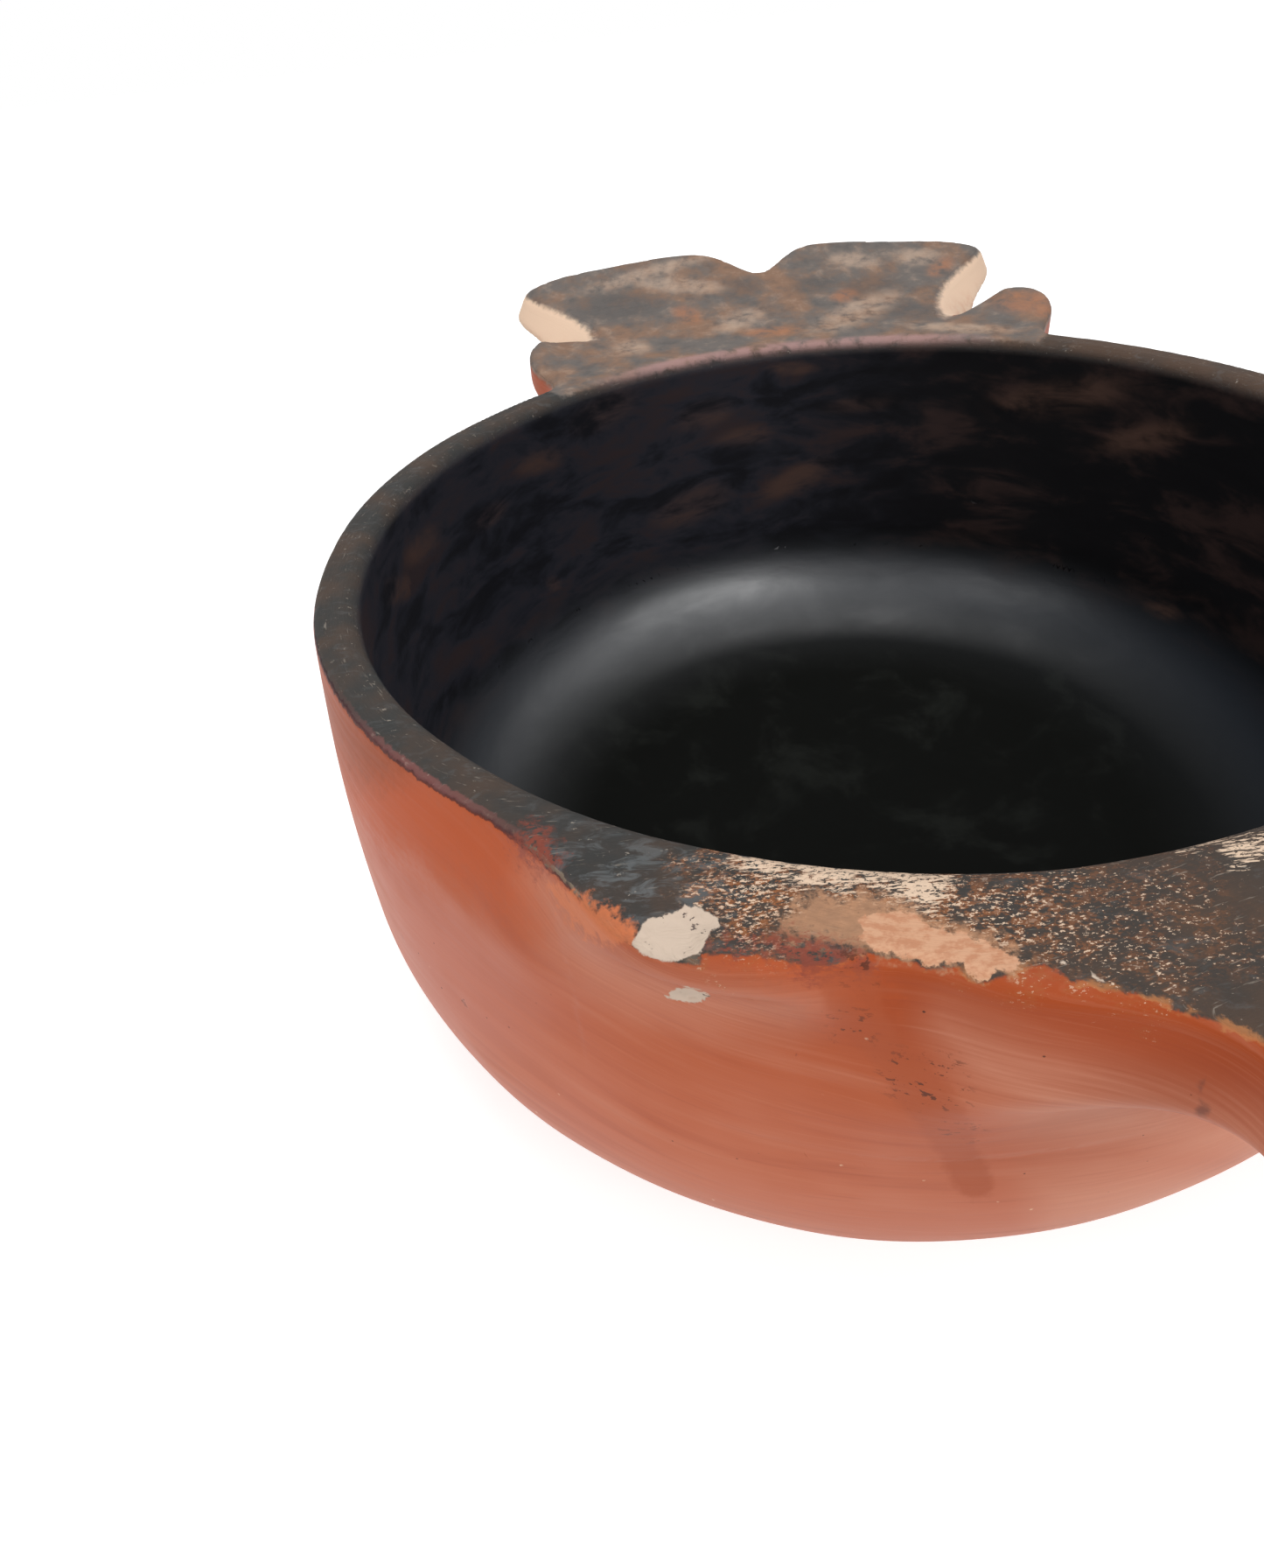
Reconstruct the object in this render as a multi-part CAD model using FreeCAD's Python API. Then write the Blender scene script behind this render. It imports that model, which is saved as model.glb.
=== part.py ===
import FreeCAD, Part
import math
import os

# Hand-built clay bowl in the form of an animal. A base disc and four stacked coils make the wall.
# The head, the tail and four small limbs are slabs luted to the outside of the rim coil.
# Millimetres. +Z is up and the origin is the centre of the flat foot.
# The tail points along -X and the head roughly along +X.

Vector = FreeCAD.Vector
UP = Vector(0, 0, 1)
ORIGIN = Vector(0, 0, 0)

# Outside of the bowl
height = 112.0
rim_outer_radius = 119.0
belly_radius = 123.2
belly_drop = 61.4          # widest ring, below the rim
heel_radius = 64.0         # big curve from the belly under to the foot
toe_radius = 9.0           # small curve where the heel meets the flat foot
rim_edge_radius = 1.2

# Inside of the bowl
rim_inner_radius = 110.0
lip_radius = 3.5           # worn-round inner lip
inner_belly_radius = 111.0
inner_belly_drop = 34.0
corner_drop = 60.0         # where the straight wall starts to turn into the floor
corner_radius = 30.0
floor_thickness = 12.0

# Coil seams. Each seam is lapped: it climbs towards the inside by the lap.
base_seam_height = 26.0
coil_height = 16.5
plain_coil_names = ["lower_wall_coil", "middle_wall_coil", "upper_wall_coil"]
seam_lap = 4.0

# Cuts reach past what they cut by this much
overrun = 12.0

# Tail: a forked slab, narrow at the root, that sweeps up a little
tail_angle = 180.0
tail_length = 60.0         # past the rim
tail_half_width = 79.0
tail_rise = 14.5           # of the top face, at the end
tail_tip_thickness = 9.0
tail_root_thickness = 11.0
tail_root_depth = 23.0     # below the rim, where the underside meets the wall
tail_blend_reach = 26.0
tail_edge_radius = 2.6
# Half outlines from the root to the notch: shares of tail_length past the rim, and of tail_half_width.
# The underside is wider at the root, so the tail's sides lean out downwards there.
tail_top_shares = [(-0.30, 0.56), (0.10, 0.61), (0.42, 0.75), (0.68, 0.93), (0.79, 0.965), (0.88, 0.86),
                   (0.965, 0.48), (0.955, 0.23), (0.81, 0.085)]
tail_bottom_shares = [(-0.30, 0.80), (0.10, 0.82), (0.42, 0.89), (0.68, 0.98), (0.80, 0.99), (0.89, 0.86),
                      (0.965, 0.48), (0.955, 0.23), (0.81, 0.085)]
tail_notch_share = 0.755

# Head: a broad flare from the rim, a short neck and a blunt rounded end
head_angle = 10.5
head_length = 60.0         # past the rim
head_half_width = 22.0
head_drop = 2.0            # of the top face, at the end
head_tip_thickness = 15.0
head_root_thickness = 19.0
head_root_depth = 34.0
head_blend_reach = 30.0
head_edge_radius = 4.0
# Half outline from the root to the snout: shares of head_length past the rim, and of head_half_width
head_shares = [(-0.42, 2.77), (-0.10, 2.04), (0.085, 1.70), (0.215, 1.18), (0.365, 0.78),
               (0.50, 0.74), (0.64, 0.92), (0.78, 0.98), (0.92, 0.72)]

# Front limbs: low broad lobes each side of the head
front_limb_spread = 34.0   # degrees from the head
front_limb_length = 12.0   # past the rim
front_limb_half_width = 34.0
front_limb_rise = -1.0
front_limb_tip_thickness = 7.0
front_limb_root_thickness = 10.0
front_limb_root_depth = 24.0
front_limb_blend_reach = 11.0
front_limb_edge_radius = 2.2
front_limb_shares = [(-1.60, 1.15), (-0.55, 0.92), (0.20, 0.62), (0.82, 0.30)]

# Rear limbs: small blunt lobes tucked in beside the tail
rear_limb_spread = 30.5    # degrees from the tail
rear_limb_length = 28.0    # past the rim
rear_limb_half_width = 11.5
rear_limb_rise = 5.0
rear_limb_tip_thickness = 9.0
rear_limb_root_thickness = 11.0
rear_limb_root_depth = 21.0
rear_limb_blend_reach = 16.0
rear_limb_edge_radius = 2.4
rear_limb_shares = [(-0.80, 1.30), (-0.10, 1.08), (0.35, 0.98), (0.72, 0.90), (0.93, 0.55)]

# Smeared blend of clay under every slab: shares of its reach and of its extra depth at the wall
blend_shares = [(0.0, 1.0), (0.22, 0.52), (0.55, 0.16), (1.0, 0.0)]
# Points along a slab's curved top, as shares of its length past the rim
top_shares = [0.0, 0.3, 0.65, 1.0]
top_dip = 0.6              # below the rim's top, where a slab's top runs in under the rim


def section_point(radius, z):
    return Vector(radius, 0, z)


def line(start, end):
    return Part.LineSegment(start, end).toShape()


def arc_about(centre, radius, start_degrees, end_degrees):
    """Arc in the XZ plane about a centre, angles measured from +X towards +Z."""
    points = []
    for degrees in (start_degrees, (start_degrees + end_degrees) / 2, end_degrees):
        angle = math.radians(degrees)
        points.append(centre + section_point(radius * math.cos(angle), radius * math.sin(angle)))
    return Part.Arc(*points).toShape()


def start_of(edge):
    return edge.valueAt(edge.FirstParameter)


def end_of(edge):
    return edge.valueAt(edge.LastParameter)


def belly_arc(crown_radius, crown_z, end_radius, end_z):
    """Arc that is upright at its crown and bows in by the end point."""
    inset = crown_radius - end_radius
    rise = end_z - crown_z
    bow = (rise * rise + inset * inset) / (2 * inset)
    centre = section_point(crown_radius - bow, crown_z)
    sweep = math.degrees(math.asin(rise / bow))
    return arc_about(centre, bow, 0, sweep)


def outer_edges():
    """Outside from the axis at the foot, up to the axis at rim height."""
    belly_z = height - belly_drop
    heel_centre = section_point(belly_radius - heel_radius, belly_z)
    # The toe circle sits on the foot plane and inside the heel circle
    across = heel_radius - toe_radius
    dip = belly_z - toe_radius
    toe_degrees = math.degrees(math.asin(dip / across))
    toe_centre = heel_centre + section_point(across * math.cos(math.radians(toe_degrees)), -dip)
    toe = arc_about(toe_centre, toe_radius, -90, -toe_degrees)
    heel = arc_about(heel_centre, heel_radius, -toe_degrees, 0)
    belly = belly_arc(belly_radius, belly_z, rim_outer_radius, height - rim_edge_radius)
    rim_edge_centre = section_point(rim_outer_radius - rim_edge_radius, height - rim_edge_radius)
    rim_edge = arc_about(rim_edge_centre, rim_edge_radius, 0, 90)
    foot = line(ORIGIN, start_of(toe))
    return [foot, toe, heel, belly, rim_edge]


def inner_edges():
    """Inside from the rim top down to the axis at the floor."""
    lip_centre = section_point(rim_inner_radius + lip_radius, height - lip_radius)
    lip = arc_about(lip_centre, lip_radius, 90, 180)
    crown = section_point(inner_belly_radius, height - inner_belly_drop)
    corner_centre = section_point(rim_inner_radius - corner_radius, height - corner_drop)
    wall = Part.Arc(end_of(lip), crown, corner_centre + section_point(corner_radius, 0)).toShape()
    # The floor is a shallow dish that runs smoothly into the corner
    reach = corner_centre.x
    depth = corner_centre.z - floor_thickness
    dish = (depth * depth + reach * reach - corner_radius * corner_radius) / (2 * (depth - corner_radius))
    tangent_degrees = math.degrees(math.atan2(reach, dish - depth))
    corner = arc_about(corner_centre, corner_radius, 0, tangent_degrees - 90)
    dish_centre = section_point(0, floor_thickness + dish)
    floor = arc_about(dish_centre, dish, tangent_degrees - 90, -90)
    return [lip, wall, corner, floor]


def outer_form():
    """The bowl's outside as a solid lump, which the slabs are fitted against."""
    outside = outer_edges()
    top = section_point(0, height)
    lid = line(end_of(outside[-1]), top)
    return Part.Face(Part.Wire(outside + [lid, line(top, ORIGIN)])).revolve(ORIGIN, UP, 360)


def wall_face():
    """Half section of the clay, from the axis to the outside."""
    outside = outer_edges()
    inside = inner_edges()
    floor_middle = section_point(0, floor_thickness)
    rim_top = line(end_of(outside[-1]), start_of(inside[0]))
    return Part.Face(Part.Wire(outside + [rim_top] + inside + [line(floor_middle, ORIGIN)]))


def seam_line_z(seam_height, radius):
    """Height of a lapped seam at a radius: it climbs towards the inside."""
    return seam_height + seam_lap * (belly_radius - radius) / (belly_radius - inner_belly_radius)


def band_face(low_seam, high_seam):
    """Everything in the half section between two seams."""
    inside = corner_radius
    outside = belly_radius + overrun
    corners = []
    if low_seam is None:
        corners += [section_point(0, -overrun), section_point(outside, -overrun)]
        inside = 0
    else:
        corners += [section_point(inside, seam_line_z(low_seam, inside)),
                    section_point(outside, seam_line_z(low_seam, outside))]
    if high_seam is None:
        corners += [section_point(outside, height + overrun),
                    section_point(inside, height + overrun)]
    else:
        corners += [section_point(outside, seam_line_z(high_seam, outside)),
                    section_point(inside, seam_line_z(high_seam, inside))]
    return Part.Face(Part.makePolygon(corners + [corners[0]]))


def course(low_seam, high_seam):
    """One ring of clay between two seams."""
    section = wall_face().common(band_face(low_seam, high_seam))
    face = max(section.Faces, key=lambda piece: piece.Area)
    return face.revolve(ORIGIN, UP, 360)


def outline_wire(points, z):
    """Smooth outline through the points, closed by a straight line inside the wall."""
    level = [Vector(along, across, z) for along, across in points]
    curve = Part.BSplineCurve()
    curve.interpolate(level)
    return Part.Wire([curve.toShape(), line(level[-1], level[0])])


def mirrored(shares, length, half_width, middle_share=1):
    """Half outline from shares, the point on the slab's own axis, then the mirror image."""
    half = [(rim_outer_radius + length * out, half_width * side) for out, side in shares]
    middle = (rim_outer_radius + length * middle_share, 0)
    other = [(along, -across) for along, across in reversed(half)]
    return half + [middle] + other


def side_form(length, rise, tip_thickness, root_thickness, root_depth, blend_reach, half_width):
    """The slab seen from its side: flush with the rim, thick at the wall, swept across its width."""
    end = rim_outer_radius + length + overrun

    def top_z(along):
        out = (along - rim_outer_radius) / length
        return height + rise * out * abs(out)

    def under_z(along, extra):
        out = (along - rim_outer_radius) / length
        return top_z(along) - root_thickness - (tip_thickness - root_thickness) * out - extra

    top_points = [Vector(rim_inner_radius, 0, height - top_dip)]
    for share in top_shares:
        along = rim_outer_radius + (end - rim_outer_radius) * share
        top_points.append(Vector(along, 0, top_z(along)))
    under_points = [Vector(rim_inner_radius, 0, height - root_depth - seam_lap)]
    for out, drop in blend_shares:
        along = rim_outer_radius + blend_reach * out
        under_points.append(Vector(along, 0, under_z(along, (root_depth - root_thickness) * drop)))
    under_points.append(Vector(end, 0, under_z(end, 0)))
    top = Part.BSplineCurve()
    top.interpolate(top_points)
    under = Part.BSplineCurve()
    under.interpolate(under_points)
    edges = [top.toShape(), line(top_points[-1], under_points[-1]), under.toShape(),
             line(under_points[0], top_points[0])]
    face = Part.Face(Part.Wire(edges))
    reach = half_width * 2 + overrun
    face.translate(Vector(0, -reach, 0))
    return face.extrude(Vector(0, reach * 2, 0))


def soften(blank, radius):
    """Round the long edges above and below a slab, but not those buried in the wall."""
    edges = []
    for edge in blank.Edges:
        box = edge.BoundBox
        if box.XMax > rim_outer_radius and box.ZLength < box.XLength + box.YLength:
            edges.append(edge)
    return blank.makeFillet(radius, edges)


def slab(top_points, bottom_points, side, edge_radius, bottom_z, top_z):
    """Loft between two outlines, trimmed to its side view, with softened edges."""
    outlines = [outline_wire(bottom_points, bottom_z), outline_wire(top_points, top_z)]
    blank = Part.makeLoft(outlines, True, True)
    return soften(blank.common(side), edge_radius)


def placed(shape, degrees, form, neighbours):
    """Turn a slab to its place on the rim and fit it against the wall and its neighbours."""
    shape = shape.copy()
    shape.rotate(ORIGIN, UP, degrees)
    shape = shape.cut(form)
    for neighbour in neighbours:
        shape = shape.cut(neighbour)
    return max(shape.Solids, key=lambda piece: piece.Volume)


def lobe(outline, length, half_width, rise, tip_thickness, root_thickness, root_depth, blend_reach,
         edge_radius):
    """A rounded slab with the same outline above and below."""
    side = side_form(length, rise, tip_thickness, root_thickness, root_depth, blend_reach, half_width)
    low = height - root_depth - overrun
    high = height + abs(rise) + overrun
    return slab(outline, outline, side, edge_radius, low, high)


def tail_slab():
    """The forked tail, whose sides lean out towards its underside near the root."""
    top = mirrored(tail_top_shares, tail_length, tail_half_width, tail_notch_share)
    bottom = mirrored(tail_bottom_shares, tail_length, tail_half_width, tail_notch_share)
    side = side_form(tail_length, tail_rise, tail_tip_thickness, tail_root_thickness,
                     tail_root_depth, tail_blend_reach, tail_half_width)
    low = height - tail_root_depth - overrun
    high = height + tail_rise + overrun
    return slab(top, bottom, side, tail_edge_radius, low, high)


def head_slab():
    """The head, flared at the rim, drawn in at the neck and blunt at the snout."""
    outline = mirrored(head_shares, head_length, head_half_width)
    return lobe(outline, head_length, head_half_width, -head_drop, head_tip_thickness,
                head_root_thickness, head_root_depth, head_blend_reach, head_edge_radius)


def front_limb():
    outline = mirrored(front_limb_shares, front_limb_length, front_limb_half_width)
    return lobe(outline, front_limb_length, front_limb_half_width, front_limb_rise,
                front_limb_tip_thickness, front_limb_root_thickness, front_limb_root_depth,
                front_limb_blend_reach, front_limb_edge_radius)


def rear_limb():
    outline = mirrored(rear_limb_shares, rear_limb_length, rear_limb_half_width)
    return lobe(outline, rear_limb_length, rear_limb_half_width, rear_limb_rise,
                rear_limb_tip_thickness, rear_limb_root_thickness, rear_limb_root_depth,
                rear_limb_blend_reach, rear_limb_edge_radius)


def main():
    form = outer_form()
    parts = {}
    seam = base_seam_height
    parts["base_disc"] = course(None, seam)
    for name in plain_coil_names:
        parts[name] = course(seam, seam + coil_height)
        seam += coil_height
    parts["rim_coil"] = course(seam, None)

    parts["head"] = placed(head_slab(), head_angle, form, [])
    parts["tail"] = placed(tail_slab(), tail_angle, form, [])
    front = front_limb()
    rear = rear_limb()
    for side_name, sign in (("right", -1), ("left", 1)):
        front_angle = head_angle + sign * front_limb_spread
        rear_angle = tail_angle - sign * rear_limb_spread
        parts["front_limb_" + side_name] = placed(front, front_angle, form, [parts["head"]])
        parts["rear_limb_" + side_name] = placed(rear, rear_angle, form, [parts["tail"]])

    os.makedirs("parts", exist_ok=True)
    for name, shape in parts.items():
        shape.exportStep("parts/" + name + ".step")
        print(name, "solids", len(shape.Solids), "valid", shape.isValid(), "mm3", round(shape.Volume))


main()
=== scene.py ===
import copy
import math
import bpy
import numpy as np
from mathutils import Matrix, Vector


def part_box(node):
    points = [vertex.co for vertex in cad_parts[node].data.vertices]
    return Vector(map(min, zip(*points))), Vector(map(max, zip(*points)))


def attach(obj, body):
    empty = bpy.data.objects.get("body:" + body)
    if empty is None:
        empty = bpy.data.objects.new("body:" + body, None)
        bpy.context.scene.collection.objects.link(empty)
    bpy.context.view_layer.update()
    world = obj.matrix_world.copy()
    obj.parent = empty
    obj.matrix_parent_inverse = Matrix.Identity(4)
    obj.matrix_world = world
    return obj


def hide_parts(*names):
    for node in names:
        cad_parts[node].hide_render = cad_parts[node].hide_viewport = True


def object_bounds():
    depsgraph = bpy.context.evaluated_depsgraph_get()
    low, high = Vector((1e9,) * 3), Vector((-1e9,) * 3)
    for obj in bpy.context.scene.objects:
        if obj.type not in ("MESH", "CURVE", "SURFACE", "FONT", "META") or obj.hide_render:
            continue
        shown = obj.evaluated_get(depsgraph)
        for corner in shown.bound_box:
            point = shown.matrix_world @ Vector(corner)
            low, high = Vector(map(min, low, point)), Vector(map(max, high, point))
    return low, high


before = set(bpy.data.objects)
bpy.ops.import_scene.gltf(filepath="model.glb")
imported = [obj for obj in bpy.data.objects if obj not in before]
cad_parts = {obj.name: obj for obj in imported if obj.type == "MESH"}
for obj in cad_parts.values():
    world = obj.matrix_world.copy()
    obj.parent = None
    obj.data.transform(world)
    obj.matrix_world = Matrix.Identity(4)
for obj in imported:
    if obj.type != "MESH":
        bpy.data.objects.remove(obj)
cad_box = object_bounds()

# Hand-built clay bowl in the form of an animal: red burnished slip outside, smoked black inside.
# One smooth surface is worked out in millimetres, as a distance field round the bowl's own profile
# and its slabs, then cut into the bowl's separate pieces along their hidden seams.
MM = 0.001
VOXEL = 1.25

# Sizes that the frame gives
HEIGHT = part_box("rim_coil")[1].z / MM
BELLY_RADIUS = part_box("middle_wall_coil")[1].y / MM

# Outside of the bowl
RIM_OUTER = 119.0
BELLY_DROP = 61.4
HEEL_RADIUS = 64.0
TOE_RADIUS = 9.0
RIM_EDGE = 1.8

# Inside of the bowl
RIM_INNER = 110.0
LIP_RADIUS = 3.5
INNER_BELLY_RADIUS = 111.0
INNER_BELLY_DROP = 34.0
CORNER_DROP = 60.0
CORNER_RADIUS = 30.0
FLOOR_THICKNESS = 12.0
CORNER_EASE = 10.0         # height over which the straight wall eases into the corner

# Coil seams, lapped so that they climb towards the inside
SEAMS = [26.0, 42.5, 59.0, 75.5]
SEAM_LAP = 4.0
RING_NAMES = ["base_disc", "lower_wall_coil", "middle_wall_coil", "upper_wall_coil", "rim_coil"]

# Slabs are let into the wall this deep, inside a footprint round each group of slabs
SEAT_DEPTH = 3.0
SEAT_BOTTOM = 79.0
FRONT_SEAT_HALF = 47.0     # degrees each side of the head
REAR_SEAT_HALF = 43.0      # degrees each side of the tail

# Soft blends where clay was smeared between slabs and the wall
SLAB_EDGE_FADE = 6.0
TOP_FADE = 9.0
WEB_REACH = 34.0           # between the head and the front limbs
TAIL_WEB_REACH = 36.0      # between the tail and the rear limbs
REAR_CREASE_REACH = 8.0
CREASE_TOP_REACH = 9.0     # between a front slab and the wall, at the rim and lower down
CREASE_LOW_REACH = 27.0
CREASE_DROP = 26.0
SLAB_TOP_EDGE = 2.4        # rounding of a slab's top edge
TAIL_TOP_EDGE = 2.0
LEAN_START = 1.0           # a slab's sides lean out from this far above its top face
LEAN_DEPTH = 14.0          # and reach the lower outline this far below that
UNDER_SLOPE = 0.93         # undersides slope, so they lie a little nearer than straight down

# A slab's field is worked out only this close to it, beyond which it counts as far away
NEAR_ROOT = 45.0
NEAR_MARGIN = 26.0
FAR = 60.0

# Camera, from the fit to the rim and the outline in the photograph
PHOTO_SIZE = (1445, 1792)
FOCAL_PIXELS = 1200.0
CAMERA_PLACE = (0.20762, -0.05369, 0.21117)
CAMERA_TURN = (-178.7216, -39.1294, -7.0347)   # yaw, pitch and roll in degrees


def camera_turn():
    """The camera's axes in the bowl's frame: right, up and back."""
    yaw, pitch, roll = (math.radians(angle) for angle in CAMERA_TURN)
    turn = Matrix.Rotation(yaw - math.pi / 2, 3, "Z") @ Matrix.Rotation(math.pi / 2 + pitch, 3, "X")
    return turn @ Matrix.Rotation(roll, 3, "Z")


CAMERA_AXES = np.array(camera_turn())
CAMERA_MM = np.array(CAMERA_PLACE) / MM


def photo_place(points):
    """Column and row at which the photograph shows each point, and its depth."""
    right, up, back = CAMERA_AXES.T @ (points - CAMERA_MM).T
    column = PHOTO_SIZE[0] / 2 - FOCAL_PIXELS * right / back
    row = PHOTO_SIZE[1] / 2 + FOCAL_PIXELS * up / back
    return np.stack([column, row], 1), -back


class Slab:
    """One slab luted to the rim: its outline, side view and softened edges."""
    low_outline = None
    tilt = 0.0
    lopsided = 0.0

    def __init__(self, name, angle, **sizes):
        self.name = name
        self.angle = math.radians(angle)
        for key, size in sizes.items():
            setattr(self, key, size)
        self.widest = self.half_width * max(side for out, side in self.outline)
        self.table_top = self.table_low = self.plan_table(self.outline)
        if self.low_outline:
            self.table_low = self.plan_table(self.low_outline)
        self.under_along, self.under_extra = self.under_curve()

    def plan_table(self, shares):
        return outline_table(shares, self.length, self.half_width, self.middle_share)

    def turned(self, name, angle):
        """The same slab at another place on the rim."""
        twin = copy.copy(self)
        twin.name = name
        twin.angle = math.radians(angle)
        return twin

    def under_curve(self):
        """Extra depth of the smeared blend below the slab, from the wall outwards."""
        points = [(RIM_INNER, self.root_depth - self.root + SEAM_LAP)]
        for out, drop in BLEND_SHARES:
            points.append((RIM_OUTER + self.blend_reach * out, (self.root_depth - self.root) * drop))
        points.append((RIM_OUTER + self.length + SLAB_EDGE_FADE * 2, 0.0))
        curve = smooth_curve(points)
        return curve[:, 0], curve[:, 1]


TAIL_TOP_SHARES = [(-0.30, 0.55), (0.10, 0.59), (0.42, 0.69), (0.68, 0.88), (0.79, 0.95), (0.87, 0.87),
                   (0.93, 0.65), (0.97, 0.38), (0.945, 0.19), (0.84, 0.085)]
TAIL_LOW_SHARES = [(-0.30, 0.72), (0.10, 0.77), (0.42, 0.90), (0.66, 1.00), (0.80, 1.035), (0.885, 0.95),
                   (0.94, 0.68), (0.972, 0.38), (0.95, 0.19), (0.845, 0.085)]
TAIL_NOTCH_SHARE = 0.765
HEAD_SHARES = [(-0.42, 2.77), (-0.10, 2.04), (0.085, 1.70), (0.215, 1.18), (0.365, 0.78),
               (0.50, 0.74), (0.64, 0.92), (0.78, 0.98), (0.92, 0.72)]
FRONT_LIMB_SHARES = [(-1.60, 1.15), (-0.55, 0.92), (0.20, 0.62), (0.82, 0.30)]
REAR_LIMB_SHARES = [(-0.80, 1.30), (-0.10, 1.08), (0.35, 0.98), (0.72, 0.90), (0.93, 0.55)]
BLEND_SHARES = [(0.0, 1.0), (0.22, 0.52), (0.55, 0.16), (1.0, 0.0)]
HEAD_ANGLE = 10.5
TAIL_ANGLE = 180.0
FRONT_LIMB_SPREAD = 34.0
REAR_LIMB_SPREAD = 30.5
SHORT_LIMB_LENGTH = 27.5   # one rear limb came out shorter and a little nearer the tail
SHORT_LIMB_TURN = 1.6
TABLE_STEP = 0.8
TABLE_MARGIN = 24.0
TABLE_START = 60.0


def smooth_curve(points, per_span=24):
    """Natural cubic spline through the points, spaced by chord length."""
    points = np.array(points, float)
    chord = np.linalg.norm(np.diff(points, axis=0), axis=1)
    knots = np.concatenate([[0.0], np.cumsum(chord)])
    count = len(points)
    matrix = np.eye(count)
    right = np.zeros_like(points)
    for i in range(1, count - 1):
        before, after = chord[i - 1], chord[i]
        matrix[i, i - 1:i + 2] = before, 2 * (before + after), after
        slope_change = (points[i + 1] - points[i]) / after - (points[i] - points[i - 1]) / before
        right[i] = 6 * slope_change
    bend = np.linalg.solve(matrix, right)
    out = []
    for i in range(count - 1):
        t = np.linspace(0, 1, per_span, endpoint=False)[:, None]
        h = chord[i]
        a, b = 1 - t, t
        span = a * points[i] + b * points[i + 1]
        span += ((a ** 3 - a) * bend[i] + (b ** 3 - b) * bend[i + 1]) * h * h / 6
        out.append(span)
    out.append(points[-1:])
    return np.vstack(out)


def polyline_distance(points, curve):
    """Distance from each 2D point to a polyline."""
    best = np.full(len(points), np.inf)
    for start, end in zip(curve[:-1], curve[1:]):
        run = end - start
        share = np.clip(((points - start) @ run) / max(run @ run, 1e-12), 0, 1)
        gap = points - start - share[:, None] * run
        best = np.minimum(best, (gap * gap).sum(1))
    return np.sqrt(best)


def polygon_inside(points, corners):
    """True for 2D points inside a closed polygon."""
    inside = np.zeros(len(points), bool)
    x, y = points[:, 0], points[:, 1]
    for (x0, y0), (x1, y1) in zip(corners, np.roll(corners, -1, axis=0)):
        if y0 == y1:
            continue
        crosses = (y0 > y) != (y1 > y)
        inside ^= crosses & (x < (x1 - x0) * (y - y0) / (y1 - y0) + x0)
    return inside


def outline_table(shares, length, half_width, middle_share):
    """Signed distance to a slab's plan outline, tabled over the half plane beside its axis."""
    half = [(RIM_OUTER + length * out, half_width * side) for out, side in shares]
    middle = (RIM_OUTER + length * middle_share, 0.0)
    mirrored = [(along, -across) for along, across in reversed(half)]
    curve = smooth_curve(half + [middle] + mirrored, 16)
    along = np.arange(TABLE_START, RIM_OUTER + length + TABLE_MARGIN, TABLE_STEP)
    across = np.arange(-2 * TABLE_STEP, half_width * 1.3 + TABLE_MARGIN, TABLE_STEP)
    grid = np.stack(np.meshgrid(along, across, indexing="ij"), -1).reshape(-1, 2)
    near = polyline_distance(grid, curve[curve[:, 1] > -TABLE_MARGIN])
    root = np.array([[TABLE_START - TABLE_MARGIN, -curve[0, 1]], [TABLE_START - TABLE_MARGIN, curve[0, 1]]])
    inside = polygon_inside(grid, np.vstack([curve, root]))
    table = np.where(inside, -near, near).reshape(len(along), len(across))
    return along[0], across[0], table


def cubic_weights(t):
    """Catmull-Rom weights for four neighbouring samples."""
    return ((-t + 2 * t * t - t ** 3) / 2, (2 - 5 * t * t + 3 * t ** 3) / 2,
            (t + 4 * t * t - 3 * t ** 3) / 2, (t ** 3 - t * t) / 2)


def look_up(table, along, across):
    """Smoothly interpolated table value; off the table the nearest edge value grows with distance."""
    start_along, start_across, values = table
    u = (along - start_along) / TABLE_STEP
    v = (np.abs(across) - start_across) / TABLE_STEP
    top_u, top_v = values.shape[0] - 3.001, values.shape[1] - 3.001
    inside_u, inside_v = np.clip(u, 1, top_u), np.clip(v, 1, top_v)
    off = np.hypot(u - inside_u, v - inside_v) * TABLE_STEP
    i, j = inside_u.astype(int), inside_v.astype(int)
    weights_u, weights_v = cubic_weights(inside_u - i), cubic_weights(inside_v - j)
    total = np.zeros_like(u)
    for a in range(4):
        row = np.zeros_like(u)
        for b in range(4):
            row += weights_v[b] * values[i + a - 1, j + b - 1]
        total += weights_u[a] * row
    return total + off


def ease(t):
    t = np.clip(t, 0, 1)
    return t * t * (3 - 2 * t)


def ramp(value, start, end):
    """0 at the start, 1 at the end and smooth between; the start may be the larger."""
    return ease((value - start) / (end - start))


def hill(value, middle, half):
    """1 at the middle, falling away smoothly on both sides."""
    return np.exp(-((value - middle) / half) ** 2)


def turn_from(azimuth, middle):
    """Degrees round from a direction, either way."""
    return np.degrees(np.abs((azimuth - math.radians(middle) + math.pi) % (2 * math.pi) - math.pi))


def soft_min(a, b, reach):
    """Smaller of two distances, with a concave blend where they are close."""
    near = np.maximum(reach - np.abs(a - b), 0) / reach
    return np.minimum(a, b) - near ** 3 * reach / 6


def round_max(a, b, radius):
    """Larger of two distances, with the edge between them rounded to a radius."""
    corner = np.hypot(np.maximum(a + radius, 0), np.maximum(b + radius, 0))
    return np.minimum(np.maximum(a, b), -radius) + corner


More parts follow.
